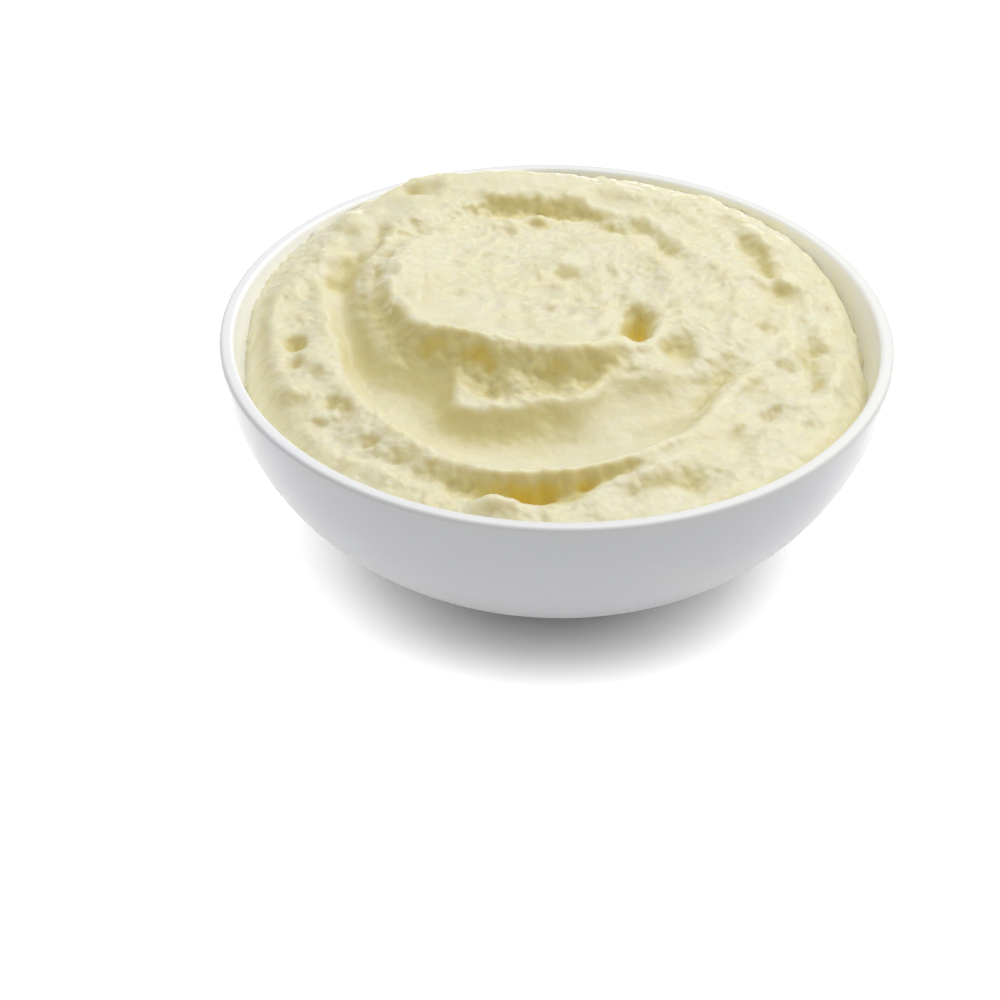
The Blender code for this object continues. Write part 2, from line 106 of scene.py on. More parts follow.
TERRACE_CREST = (
    (0, 0.049, 0.0038), (15, 0.05, 0.0038), (40, 0.0432, 0.004), (54, 0.0462, 0.004),
    (66, 0.0452, 0.0038), (73, 0.0445, 0.0036), (80, 0.049, 0.005), (90, 0.0482, 0.0052),
    (104, 0.0485, 0.0052), (118, 0.05, 0.0044), (135, 0.052, 0.0036), (155, 0.0475, 0.0034),
    (180, 0.0435, 0.002), (205, 0.0425, 0.0008), (218, 0.0405, -0.0002), (228, 0.0335, 0.002),
    (236, 0.0355, 0.001), (247, 0.0435, 0.0002), (258, 0.041, 0.0001), (272, 0.0372, 0.0003),
    (283, 0.0388, 0.0003), (300, 0.034, 0.002), (318, 0.04, 0.0015), (333, 0.045, 0.0017),
    (347, 0.049, 0.003),
)
TROUGH = (
    (0, 0.057, 0.0012), (20, 0.057, 0.0018), (45, 0.05, 0.003), (60, 0.05, 0.0028),
    (72, 0.048, 0.0026), (80, 0.0525, 0.0054), (92, 0.052, 0.006), (105, 0.053, 0.0058),
    (120, 0.057, 0.0055), (138, 0.058, 0.0026), (155, 0.053, 0.0008), (180, 0.0465, -0.0006),
    (210, 0.049, -0.0034), (240, 0.052, -0.0058), (270, 0.051, -0.0066), (300, 0.052, -0.0046),
    (320, 0.05, -0.0026), (335, 0.0515, -0.0008), (348, 0.056, 0.0006),
)
OUTER_RIDGE = (
    (0, 0.062, 0.001), (25, 0.063, 0.0022), (45, 0.058, 0.0042), (58, 0.057, 0.0046),
    (68, 0.0545, 0.005), (90, 0.0565, 0.0056), (105, 0.058, 0.0054), (118, 0.0625, 0.005),
    (138, 0.064, 0.0022), (155, 0.058, 0.0012), (180, 0.0512, 0.0012), (195, 0.051, 0.0012),
    (210, 0.0535, 0.001), (225, 0.056, 0.001), (240, 0.0605, 0.001), (255, 0.0655, 0.0012),
    (270, 0.0662, 0.0012), (285, 0.064, 0.0012), (300, 0.0605, 0.001), (318, 0.056, 0.0008),
    (333, 0.0545, 0.001), (348, 0.06, 0.0008),
)
RIDGE_FOOT = (
    (0, 0.068, -0.0006), (30, 0.067, 0.0018), (60, 0.063, 0.004), (90, 0.061, 0.0048),
    (105, 0.064, 0.0046), (120, 0.069, 0.0038), (150, 0.062, 0.0008), (180, 0.056, 0),
    (208, 0.0585, -0.0002), (224, 0.066, -0.001), (240, 0.07, -0.0016), (252, 0.072, -0.003),
    (262, 0.0715, -0.0052), (270, 0.07, -0.0056), (280, 0.0672, -0.0044), (292, 0.065, -0.0016),
    (305, 0.064, -0.0008), (330, 0.06, -0.0008),
)
OUTER_RING = (
    (0, 0.072, -0.0006), (30, 0.073, 0.0012), (60, 0.068, 0.003), (90, 0.065, 0.0042),
    (105, 0.068, 0.0038), (120, 0.073, 0.0026), (150, 0.068, 0.0002), (180, 0.062, 0),
    (210, 0.066, -0.0006), (240, 0.0745, -0.0016), (262, 0.0775, -0.0022), (280, 0.076, -0.0024),
    (300, 0.072, -0.0016), (330, 0.069, -0.0014),
)
TRACKS = (BASIN_CREST, FACE_FOOT, TERRACE_CREST, TROUGH, OUTER_RIDGE, RIDGE_FOOT, OUTER_RING)
LEAST_BAND = 0.001
# How the surface runs up to each track: the power of a hollow's rise, of a crest's fall, or an S-curve.
BASIN_RISE = 2.6
TROUGH_FALL = 1.9
RIDGE_RISE = 1.7
# How torn the mash is on the way to each track and past the last one, from 0, spooned smooth, to 1.
TORN = (0.45, 0.75, 0.7, 0.12, 0.15, 0.75, 0.65, 0.65)
# The diner's right is torn all through: how much, round which angle, and where that starts to fade.
TORN_SIDE = 0.7
TORN_SIDE_ANGLE = 10.0
TORN_SIDE_SPREAD = (1.6, -0.5)

# Creases and folds off the tracks: (start x, start y, end x, end y, half width, height, bow if any)
STROKES = (
    (0.0583, 0.018, 0.06, -0.026, 0.0016, -0.0013, 0.0008),
    (0.0448, 0.036, 0.0525, 0.0235, 0.002, -0.002),
    (0.048, 0.02, 0.057, 0.015, 0.0009, -0.0005),
    (0.038, 0.0495, 0.046, 0.044, 0.0018, -0.0016),
    (-0.0405, 0.019, -0.0355, 0.001, 0.0016, -0.002),
    (-0.041, 0.056, -0.0285, 0.058, 0.0018, -0.0022),
    (-0.0435, 0.041, -0.0485, 0.022, 0.0022, -0.0018, 0.001),
    (-0.057, 0.0185, -0.0495, 0.016, 0.002, -0.0018),
    (-0.051, -0.0495, -0.032, -0.053, 0.0013, -0.001),
    (0.003, -0.0655, 0.0265, -0.056, 0.0036, 0.0022, 0.001),
)
# Share of a stroke over which it fades at each end
STROKE_ENDS = 0.25

# Dips and lumps: (x, y, radius across, radius along, height, turn in degrees if any)
MARKS = (
    (0.0188, -0.0004, 0.0039, 0.009, -0.0076), (0.0286, -0.0092, 0.0044, 0.008, -0.0044),
    (-0.0612, -0.0073, 0.0028, 0.0032, -0.0036), (-0.0615, -0.0152, 0.0026, 0.0028, -0.0028),
    (-0.0522, -0.0335, 0.0016, 0.0018, -0.0024), (-0.053, -0.039, 0.0036, 0.0014, -0.0014),
    (-0.0421, -0.0469, 0.0024, 0.0012, -0.0018, 30), (-0.059, -0.027, 0.005, 0.004, 0.0012),
    (-0.0687, 0.0005, 0.003, 0.008, 0.0008), (-0.0518, 0.044, 0.0045, 0.004, 0.0018),
    (-0.0555, 0.029, 0.005, 0.0035, 0.0016), (-0.06, 0.0215, 0.0035, 0.0035, 0.001),
    (-0.036, 0.05, 0.0042, 0.0036, 0.0006), (-0.0389, 0.0415, 0.0035, 0.003, 0.001),
    (-0.031, 0.048, 0.0045, 0.0035, 0.001), (-0.0329, 0.064, 0.0075, 0.0045, 0.0012, 20),
    (-0.015, 0.064, 0.01, 0.0045, 0.001), (-0.0122, 0.043, 0.004, 0.0024, 0.0016),
    (-0.0049, 0.0465, 0.003, 0.0022, 0.0016), (0.0003, 0.0265, 0.006, 0.003, 0.001, 20),
    (0.004, 0.0206, 0.005, 0.0026, -0.0008, 20), (-0.0242, 0.012, 0.0024, 0.0022, -0.0012),
    (0.0101, -0.006, 0.0042, 0.0032, -0.0018), (0.0507, 0.04, 0.006, 0.0045, 0.0016, -40),
    (0.0559, 0.0205, 0.0045, 0.003, 0.0018, -30), (0.0465, 0.022, 0.0042, 0.003, 0.0012, -30),
    (0.0495, 0.0013, 0.0026, 0.0026, -0.0016), (0.0544, -0.0072, 0.0035, 0.006, 0.001),
    (0.064, 0.0013, 0.0032, 0.006, 0.0016), (0.0674, 0.0145, 0.0032, 0.005, 0.0012, 15),
    (0.0655, -0.016, 0.0036, 0.006, 0.0014, -15), (0.054, -0.0253, 0.005, 0.005, 0.0012),
    (0.06, -0.0345, 0.0022, 0.0022, -0.0016), (0.0483, -0.0316, 0.005, 0.003, -0.0012, 40),
    (0.0416, -0.043, 0.006, 0.0045, -0.0014, 40), (0.0252, -0.055, 0.0048, 0.0036, 0.0012),
    (0.0316, -0.0595, 0.0042, 0.006, -0.002, -20), (-0.013, -0.0685, 0.007, 0.0028, 0.0016),
    (-0.006, -0.0645, 0.0036, 0.0026, -0.003),
)
MARK_STEEPNESS = 3.0

# The hand's unevenness: size and depth of the drift sideways, and of the lumps
DRIFTS = ((0.016, 0.0012), (0.006, 0.0005))
LUMPS = ((0.0075, 0.0007), (0.004, 0.0004))
LATTICE = 64
NOISE_GAIN = 1.6
DRIFT_X_SEED = 7
DRIFT_Y_SEED = 17
LUMP_SEED = 27

# The fine mash: how many rings of points its top has, and its finer drift sideways
FINE_RINGS = 165
FINE_DRIFTS = ((0.0034, 0.00022), (0.0018, 0.00008))
FINE_X_SEED = 41
FINE_Y_SEED = 46
# How many values the noise in space draws from
HASH_SIZE = 256
# Streaks along the spoon's way: (width, how many round the bowl, depth), and their share on smooth mash
STREAKS = ((0.0056, 8, 0.001), (0.0028, 13, 0.0005))
STREAK_REST = 0.06
STREAK_SEED = 101
# Where in a turn they fade into their own start, and over how much of it
STREAK_JOIN = (0.8, 0.2)
# How often the points are evened out before the fine forms
ROUNDING = 5
# Dips are narrower and shallower here than in the solid, whose facets are wider
DIP_SPREAD = 0.85
DIP_DEPTH = 0.75
FINE_DIP_DEPTH = 0.65
# Soft ridge along the basin's crest at its front left: height, width, how far outside the crest
LIP_RIDGE = (0.0014, 0.0034, 0.001)
LIP_RIDGE_ANGLE = 235.0
LIP_RIDGE_SPREAD = (1.2, 0.35)
# It grows thicker and thinner: size and share of that
LIP_RIDGE_BREAKS = (0.008, 0.45)
LIP_RIDGE_SEED = 50
# How round its shoulder at the wall is
SHOULDER_POWER = 1.8
# Finer creases, folds, dips and lumps, in the same forms as above
FINE_STROKES = (
    (-0.035, 0.0279, -0.0315, -0.0001, 0.0016, 0.001),
    (-0.0388, 0.008, -0.0356, -0.0008, 0.001, -0.0012),
    (-0.0419, 0.0246, -0.0405, 0.0079, 0.0011, 0.0009),
    (-0.0234, -0.0155, -0.0216, -0.0316, 0.0012, 0.0009),
    (-0.0107, -0.0607, -0.0048, -0.0624, 0.0015, -0.003),
    (-0.0055, -0.0622, 0.0021, -0.0612, 0.0014, -0.0026),
    (-0.0513, -0.0031, -0.049, -0.0206, 0.0013, 0.0009),
    (-0.0456, -0.0548, -0.0296, -0.0522, 0.0008, -0.0014),
    (-0.043, 0.0438, -0.047, 0.0324, 0.0018, -0.002),
    (-0.0471, 0.0303, -0.0551, 0.0178, 0.0019, -0.002),
    (-0.0387, 0.0419, -0.0487, 0.0163, 0.0012, 0.0013),
    (-0.0387, 0.0571, -0.0295, 0.054, 0.001, -0.0017),
    (-0.0679, 0.0175, -0.0717, 0.001, 0.0006, -0.0011),
    (-0.0661, 0.016, -0.0693, -0.0029, 0.0008, 0.0006),
    (-0.023, 0.0531, -0.0165, 0.0527, 0.0013, -0.0015),
    (0.0085, 0.0459, 0.0228, 0.0408, 0.0009, -0.0018),
    (0.0218, 0.0413, 0.0278, 0.0294, 0.0009, -0.0016),
    (0.013, -0.0001, 0.0103, -0.015, 0.001, 0.001),
    (0.0158, -0.0133, 0.0247, -0.0097, 0.001, 0.0008),
    (0.0151, -0.039, 0.0311, -0.03, 0.0008, -0.0014),
    (0.0307, -0.0303, 0.0421, -0.0118, 0.001, -0.002),
    (0.0219, -0.0378, 0.0344, -0.0315, 0.0007, -0.0012),
    (0.034, -0.0312, 0.0416, -0.0198, 0.0008, -0.0016),
    (0.01, -0.0575, 0.0198, -0.0527, 0.001, -0.0018),
    (0.0266, -0.0525, 0.0304, -0.0558, 0.0009, -0.0024),
    (0.044, 0.0409, 0.0458, 0.0328, 0.0008, -0.0022),
    (0.0467, 0.02, 0.0519, 0.0184, 0.0009, 0.0017),
    (0.0506, 0.0125, 0.0572, 0.0142, 0.0006, -0.0016),
    (0.0572, 0.0134, 0.0586, -0.0017, 0.0009, -0.002),
    (0.059, -0.0009, 0.0595, -0.026, 0.0009, -0.0012),
    (0.055, 0.0003, 0.0559, -0.0138, 0.0012, 0.0009),
    (0.0451, -0.0286, 0.0509, -0.0341, 0.0007, -0.0009),
    (-0.0217, 0.0297, -0.024, 0.0131, 0.0007, -0.0005),
    (-0.0132, 0.0328, -0.0195, 0.024, 0.0007, -0.0004),
    (-0.0273, -0.0105, -0.0202, -0.0131, 0.0009, 0.0007),
    (-0.0349, -0.0448, -0.0233, -0.04, 0.0012, 0.0005),
    (-0.0244, 0.0172, -0.0191, 0.0317, 0.0009, 0.0009),
    (-0.0222, 0.018, -0.0171, 0.0307, 0.0008, -0.001),
    (-0.0193, 0.0307, -0.0131, 0.0373, 0.0009, 0.0008),
    (-0.0101, 0.0145, -0.0069, -0.0013, 0.0008, -0.001),
    (-0.0071, -0.0019, 0.0021, 0.0023, 0.001, 0.0008),
    (0.0011, 0.0018, 0.0092, 0.0107, 0.001, 0.0009),
    (-0.0018, 0.023, 0.0036, 0.0216, 0.0009, -0.0017),
    (0.0031, 0.0211, 0.0081, 0.0264, 0.0009, -0.0018),
    (-0.0055, 0.0251, -0.0022, 0.019, 0.0009, 0.0008),
)
FINE_MARKS = (
    (-0.0259, -0.0151, 0.003, 0.0026, 0.0018), (-0.0377, -0.0008, 0.0022, 0.0018, 0.001),
    (-0.0192, -0.0156, 0.0018, 0.0015, 0.0011), (-0.0155, -0.0205, 0.002, 0.0026, -0.0008),
    (-0.0148, -0.0263, 0.0019, 0.0022, -0.0018), (-0.0087, -0.0251, 0.0032, 0.0018, 0.0011),
    (-0.0206, -0.0203, 0.0012, 0.0012, -0.0006), (-0.0186, -0.0203, 0.0014, 0.0012, 0.001),
    (-0.0316, -0.016, 0.0018, 0.0018, -0.0004), (-0.0355, -0.0165, 0.0014, 0.0016, -0.0009),
    (-0.0084, -0.0196, 0.0034, 0.0028, -0.0011), (-0.0009, -0.0214, 0.0042, 0.0034, -0.0018),
    (0.0075, -0.0206, 0.0032, 0.0028, -0.0016), (-0.0046, -0.0219, 0.002, 0.0016, 0.0009),
    (0.0036, -0.0249, 0.003, 0.0016, 0.0008), (-0.0272, -0.0283, 0.0016, 0.0018, -0.0009),
    (-0.0127, -0.0688, 0.0042, 0.0026, 0.0013), (-0.0614, -0.0052, 0.0022, 0.0026, -0.0022),
    (-0.0549, -0.0184, 0.0032, 0.0022, 0.0013), (-0.0655, -0.0206, 0.002, 0.0018, -0.001),
    (-0.0613, -0.0289, 0.003, 0.0024, 0.0009), (-0.052, -0.0316, 0.0013, 0.0016, -0.0016),
    (-0.0515, 0.0458, 0.0024, 0.002, 0.0006), (-0.0559, 0.0373, 0.0024, 0.002, 0.0007),
    (-0.0599, 0.0239, 0.0022, 0.002, 0.0007), (-0.0645, 0.014, 0.0034, 0.003, 0.0009),
    (-0.0511, 0.0384, 0.0026, 0.0018, -0.0005), (-0.0545, 0.019, 0.0042, 0.002, -0.0016),
    (-0.0509, 0.0289, 0.0024, 0.0022, 0.0011), (-0.0457, 0.0483, 0.0022, 0.0018, 0.0009),
    (-0.0366, 0.045, 0.004, 0.0028, 0.0012), (-0.0049, 0.0449, 0.0014, 0.0012, 0.0016),
    (0.0117, 0.0505, 0.0026, 0.0018, 0.0015), (0.0021, 0.0231, 0.0022, 0.0016, -0.0011),
    (-0.024, 0.0124, 0.0018, 0.0012, -0.0007), (0.0102, -0.0036, 0.002, 0.0015, -0.0012),
    (0.0186, 0.002, 0.0026, 0.0036, -0.0014), (0.0074, -0.0589, 0.0024, 0.0022, -0.0026),
    (0.0038, -0.0587, 0.0017, 0.0013, 0.0014), (0.0245, -0.0543, 0.003, 0.0022, 0.0011),
    (0.0311, -0.058, 0.005, 0.0028, -0.0012), (0.0415, 0.0484, 0.0036, 0.0026, -0.0011),
    (0.0503, 0.0292, 0.0044, 0.0028, -0.0012), (0.0538, 0.0191, 0.0026, 0.0019, 0.0019),
    (0.0501, 0.0028, 0.0022, 0.002, -0.0015), (0.063, 0.0002, 0.0013, 0.0015, -0.0009),
    (0.0576, -0.0343, 0.0015, 0.0022, -0.0017), (0.0351, 0.0095, 0.0032, 0.0026, 0.0008),
    (0.0263, 0.0076, 0.0016, 0.0018, -0.0009), (0.042, -0.0023, 0.003, 0.0026, 0.0007),
    (0.0367, 0.0028, 0.0026, 0.0018, -0.0007), (0.03, 0.0602, 0.0018, 0.0012, -0.0009),
    (0.0412, -0.0402, 0.0034, 0.0024, -0.0007), (-0.0212, 0.0376, 0.0026, 0.0016, -0.0012),
    (-0.0127, 0.0397, 0.0024, 0.0015, -0.0012), (0.0003, 0.0297, 0.004, 0.0024, 0.0009),
    (0.0111, 0.0164, 0.0036, 0.0022, 0.0009), (0.0147, 0.0113, 0.0014, 0.0012, -0.0012),
    (0.0014, 0.018, 0.002, 0.0015, 0.0008),
)
# How often the tearing is evened out
TORN_SMOOTHING = 16
# Toward the wall the fine forms fade, and a gap keeps them off it
WALL_FADE = 0.0025
WALL_GAP = 0.00004
# The line at the wall wanders, without a trace further in: how far in it fades, size and reach
WALL_TRACE = 0.0015
WALL_DRIFTS = ((0.007, 0.0006), (0.0026, 0.0006), (0.0013, 0.0004))
WALL_SEED = 51
# Lumps with creases between them: (size, depth, how far their outlines wander)
BILLOWS = ((0.008, 0.001, 0.0016), (0.0042, 0.0007, 0.0012), (0.0022, 0.0003, 0.0007))
BILLOW_CREASE = 1.3
BILLOW_ROUND = 0.12
BILLOW_REST = 0.3
BILLOW_SEED = 61
WANDER_SEED = 71
# Their share where the mash is spooned smooth
SMOOTH_SHARE = 0.08
# How rough torn mash is round the bowl: (angle in degrees, share)
ROUGH_ROUND = (
    (0, 0.6), (40, 0.7), (75, 0.8), (100, 0.95), (130, 1.05), (160, 0.7),
    (185, 0.5), (210, 0.75), (255, 0.8), (285, 0.65), (320, 0.6),
)
# Pits, where the noise passes a start
PIT_SIZE = 0.0034
PIT_DEPTH = 0.0003
PIT_START = 0.25
PIT_RISE = 0.35
PIT_SEED = 71
# Crumbs: their size, their reach in it, their height, and where in its cell each may lie
CRUMB_SIZE = 0.0019
CRUMB_REACH = 0.75
CRUMB_DEPTH = 0.0003
CRUMB_JITTER = (0.1, 0.9)
CRUMB_SEED = 81
# They lie in patches: size, middle and contrast
CRUMB_PATCH = 0.009
CRUMB_PATCH_SPREAD = (0.5, 1.2)
CRUMB_PATCH_SEED = 82
# Grain: (size, depth where torn, depth where spooned smooth)
GRAINS = ((0.002, 0.00024, 0.00006), (0.0011, 0.0001, 0.00003))
GRAIN_SEED = 91
# How shut in a place is by what rises round it, most on the side that its light comes from, for the
# painted shade that darkens and yellows the mash there:
# grid, distances looked along, directions, the bright side and how much it outweighs the rest
PAINTED_SHADE_GRID = 0.0008
PAINTED_SHADE_REACHES = (1, 2, 3, 4, 6, 8, 11, 15)
PAINTED_SHADE_WAYS = 16
PAINTED_SHADE_LIGHT_SIDE = 62.0
PAINTED_SHADE_BIAS = 0.9
PAINTED_SHADE_ROUNDING = 2
# It fades over this far from the wall, which is white and throws light back
PAINTED_SHADE_FADE = 0.009
# Film of mash on the wall, partly real smear and partly a painted reflection of the mash: how high above
# the mash, how near the wall's face, its share on the lip, and its shares at the diner's left and right,
# more on the shaded right as painted shade
SMEAR_AND_REFLECTION_HEIGHT = 0.011
SMEAR_SKIN = 0.0003
LIP_PAINTED_WARMTH = 0.2
SHADED_SIDE_FILM_SHARES = (0.2, 1.0)

# Looks. How shut in a place is where each painted-shade yellow starts and where it is full:
PAINTED_SHADE_RANGE = (0.03, 0.26)
PAINTED_DEEP_SHADE_RANGE = (0.3, 0.63)
CREAM = (0.83, 0.79, 0.57)
CREAM_WARM = (0.82, 0.77, 0.52)
CREAM_PALE = (0.86, 0.84, 0.7)
# Painted shade: darker, deeper yellows that stand in for the shade in the mash's hollows and on slopes
# turned from the key light
PAINTED_SHADE_YELLOW = (0.75, 0.66, 0.31)
PAINTED_DEEP_SHADE_YELLOW = (0.82, 0.63, 0.08)
GLAZE_WHITE = (0.855, 0.865, 0.88)
GLAZE_COOL = (0.845, 0.855, 0.88)
# Colour of the real smear and of the painted reflection of the mash on the wall
FILM_AND_REFLECTION_COLOUR = (0.92, 0.89, 0.7)
FLOOR_COLOUR = (0.2, 0.2, 0.2)
# Patches: (size, detail, where in the noise they start and are full, the values there if not 0 and 1)
CREAM_PATCHES = (0.012, 3.0, 0.35, 0.65)
FLECKS = (0.0011, 2.0, 0.6, 0.72)
FLECK_SHARE = 0.35
POTATO_ROUGHNESS = (0.0035, 2.0, 0.35, 0.65, 0.42, 0.6)
FILM_PATCHES = (0.004, 3.0, 0.3, 0.7, 0.35, 1.0)
GLAZE_PATCHES = (0.03, 2.0, 0.3, 0.7)
GLAZE_ROUGHNESS = (0.02, 2.0, 0.3, 0.7, 0.29, 0.33)
# Bumps: (size, detail, roughness of the noise, height, strength)
POTATO_RIPPLE = (0.0022, 2.0, 0.5, 0.0005, 0.2)
POTATO_GRAIN = (0.0007, 3.0, 0.6, 0.0002, 0.3)
GLAZE_WAVES = (0.02, 1.0, 0.5, 0.0002, 0.04)

# Studio. Lights: (where from, size, strength)
FLOOR_RADIUS = 3.0
FLOOR_SIDES = 64
KEY_LIGHT = ((0.34, 0.48, 1.0), 1.3, 9.6)
FLOOR_WASH = ((0.0, 0.2, 1.2), 2.4, 140.0)
# Wide soft lights on the floor: (name, where from, angle across, strength)
FLOOR_SUNS = (
    ("floor_sky", (0.0, 0.0, 1.0), 150, 7.0),
    ("floor_left", (-1.0, 0.0, 0.84), 50, 10.3),
    ("floor_right", (1.0, 0.0, 0.84), 50, 11.5),
    ("floor_front", (0.0, -1.0, 1.43), 40, 2.2),
)
# Light that the mash throws back on the wall at the diner's right and left.
# Each is (name, quarter turns that face it to the wall, strength).
WALL_LIGHTS = (("wall_right", -1, 0.012), ("wall_left", 1, 0.02))
WALL_LIGHT_HEIGHT = 0.085
WALL_LIGHT_SIZE = 0.03
LIGHT_TARGET = Vector((0.0, 0.0, 0.05))
WORLD_COLOUR = (1.0, 1.0, 1.0)
WORLD_STRENGTH = 0.47

# Camera: the photo's view, with the rim's middle at RIM_PIXEL of a square image
IMAGE_SIZE = 1000
CAMERA_ELEVATION = math.radians(32.68)
CAMERA_ROLL = math.radians(-1.47)
CAMERA_DISTANCE = 0.8
CAMERA_REACH = 20
PIXELS_PER_METRE = 4211.2
RIM_PIXEL = (556.99, 331.24)
SENSOR = 36.0


def round_track(knots, angle):
    """A track's values at any angle in radians, as a closed Catmull-Rom curve through its knots."""
    at = np.array([knot[0] for knot in knots], dtype=float)
    values = np.array([knot[1:] for knot in knots], dtype=float)
    turn = np.degrees(angle) % 360.0
    after = np.searchsorted(at, turn, side="right") % len(at)
    before = after - 1
    t = ((turn - at[before]) % 360.0) / ((at[after] - at[before]) % 360.0)
    t = t[..., None]
    p0, p1, p2, p3 = values[before - 1], values[before], values[after], values[(after + 1) % len(at)]
    curve = 2 * p1 + (p2 - p0) * t + (2 * p0 - 5 * p1 + 4 * p2 - p3) * t**2
    curve += (3 * p1 - p0 - 3 * p2 + p3) * t**3
    return curve / 2


def ramp(t):
    """Smooth step from 0 to 1."""
    t = np.clip(t, 0.0, 1.0)
    return t * t * (3 - 2 * t)


def noise(x, y, size, seed):
    """Smooth noise between about -1 and 1, with hills of a given size."""
    turns = np.random.default_rng(seed).uniform(0, 2 * math.pi, (LATTICE, LATTICE))
    u, v = x / size, y / size
    i, j = np.floor(u).astype(int), np.floor(v).astype(int)
    s, t = u - i, v - j
    total = np.zeros_like(u)
    for a, b in itertools.product((0, 1), repeat=2):
        turn = turns[(i + a) % LATTICE, (j + b) % LATTICE]
        hill = np.cos(turn) * (s - a) + np.sin(turn) * (t - b)
        total += hill * ramp(1 - abs(s - a)) * ramp(1 - abs(t - b))
    return NOISE_GAIN * total


def band_heights(distance, inner_radius, outer_radius, inner_height, outer_height, track):
    """Heights between two tracks. Crests stay sharp, and the basin and the trough are hollow."""
    t = np.clip((distance - inner_radius) / (outer_radius - inner_radius), 0.0, 1.0)
    if track is BASIN_CREST:
        share = t**BASIN_RISE
    elif track is TROUGH:
        share = 1 - (1 - t) ** TROUGH_FALL
    elif track is OUTER_RIDGE:
        share = t**RIDGE_RISE
    else:
        share = ramp(t)
    return inner_height + (outer_height - inner_height) * share


def swirl(x, y):
    """Height of the spoon's tracks at a place, and how torn the mash is there."""
    distance, angle = round_swirl(x, y)
    inner_radius = np.zeros_like(x)
    inner_height = np.full_like(x, BASIN_FLOOR)
    height, torn = inner_height, np.full_like(x, TORN[0])
    for track, tearing in zip(TRACKS, TORN):
        radius, level = np.moveaxis(round_track(track, angle), -1, 0)
        radius = np.maximum(radius, inner_radius + LEAST_BAND)
        band = band_heights(distance, inner_radius, radius, inner_height, level, track)
        height = np.where(distance >= inner_radius, band, height)
        torn = np.where(distance >= inner_radius, tearing, torn)
        inner_radius, inner_height = radius, level
    height = np.where(distance >= inner_radius, inner_height, height)
    torn = np.where(distance >= inner_radius, TORN[-1], torn)
    facing = np.cos(angle - math.radians(TORN_SIDE_ANGLE))
    side = TORN_SIDE * ramp(TORN_SIDE_SPREAD[0] * facing + TORN_SIDE_SPREAD[1])
    return height, np.maximum(torn, side)


def stroke_height(x, y, strokes):
    """Creases and folds, each along a bowed line that fades at its ends."""
    height = np.zeros_like(x)
    for start_x, start_y, end_x, end_y, half_width, size, *bow in strokes:
        length = math.hypot(end_x - start_x, end_y - start_y)
        ux, uy = (end_x - start_x) / length, (end_y - start_y) / length
        t = ((x - start_x) * ux + (y - start_y) * uy) / length
        aside = (y - start_y) * ux - (x - start_x) * uy - sum(bow) * 4 * t * (1 - t)
        fade = ramp(t / STROKE_ENDS) * ramp((1 - t) / STROKE_ENDS)
        height += size * fade * np.exp(-((aside / half_width) ** 2))
    return height


def mark_height(x, y, marks):
    """Dips and lumps beside the tracks."""
    height = np.zeros_like(x)
    for mark_x, mark_y, across, along, size, *turn in marks:
        spread = DIP_SPREAD if size < 0 else 1.0
        c, s = math.cos(math.radians(sum(turn))), math.sin(math.radians(sum(turn)))
        u = (c * (x - mark_x) + s * (y - mark_y)) / (across * spread)
        v = (c * (y - mark_y) - s * (x - mark_x)) / (along * spread)
        height += size * np.exp(-(np.hypot(u, v) ** MARK_STEEPNESS))
    return height


def inner_wall_radius(depth):
    """Radius of the bowl's inside at a depth below the rim's top."""
    share = np.clip((depth - LIP_DROP) / (BODY_DEPTH - FLOOR_THICKNESS), 0.0, 1.0)
    return (BOWL_RADIUS - LIP_THICKNESS) * (1 - share**BODY_FLATNESS) ** (1 / BODY_FULLNESS)


def mash_edge(angle):
    """Radius and height of the line where the mash meets the wall, and the shoulder's width there."""
    height, shoulder = np.moveaxis(round_track(WALL_LINE, angle), -1, 0)
    return inner_wall_radius(-height) - MASH_GAP, height, shoulder


def wall_drift(angle):
    """How far the mash's line at the wall wanders up and down."""
    x, y = np.cos(angle) * BOWL_RADIUS, np.sin(angle) * BOWL_RADIUS
    height = np.zeros_like(x)
    for order, (size, reach) in enumerate(WALL_DRIFTS):
        height += reach * noise(x, y, size, WALL_SEED + order)
    return height


def arc(centre_x, centre_z, radius, start, end, steps):
    """Points of a round corner in the bowl's section, angles in degrees."""
    points = []
    for i in range(steps + 1):
        angle = math.radians(start + (end - start) * i / steps)
        points.append((centre_x + radius * math.cos(angle), centre_z + radius * math.sin(angle)))
    return points


def body_radius(depth):
    """Radius of the bowl's outside at a depth below the rim's top."""
    share = min(max((depth - LIP_DROP) / BODY_DEPTH, 0.0), 1.0)
    return BOWL_RADIUS * (1 - share**BODY_FLATNESS) ** (1 / BODY_FULLNESS)


def depth_at_body_radius(radius):
    """Depth at which the bowl's outside has a given radius."""
    return LIP_DROP + BODY_DEPTH * (1 - (radius / BOWL_RADIUS) ** BODY_FULLNESS) ** (1 / BODY_FLATNESS)


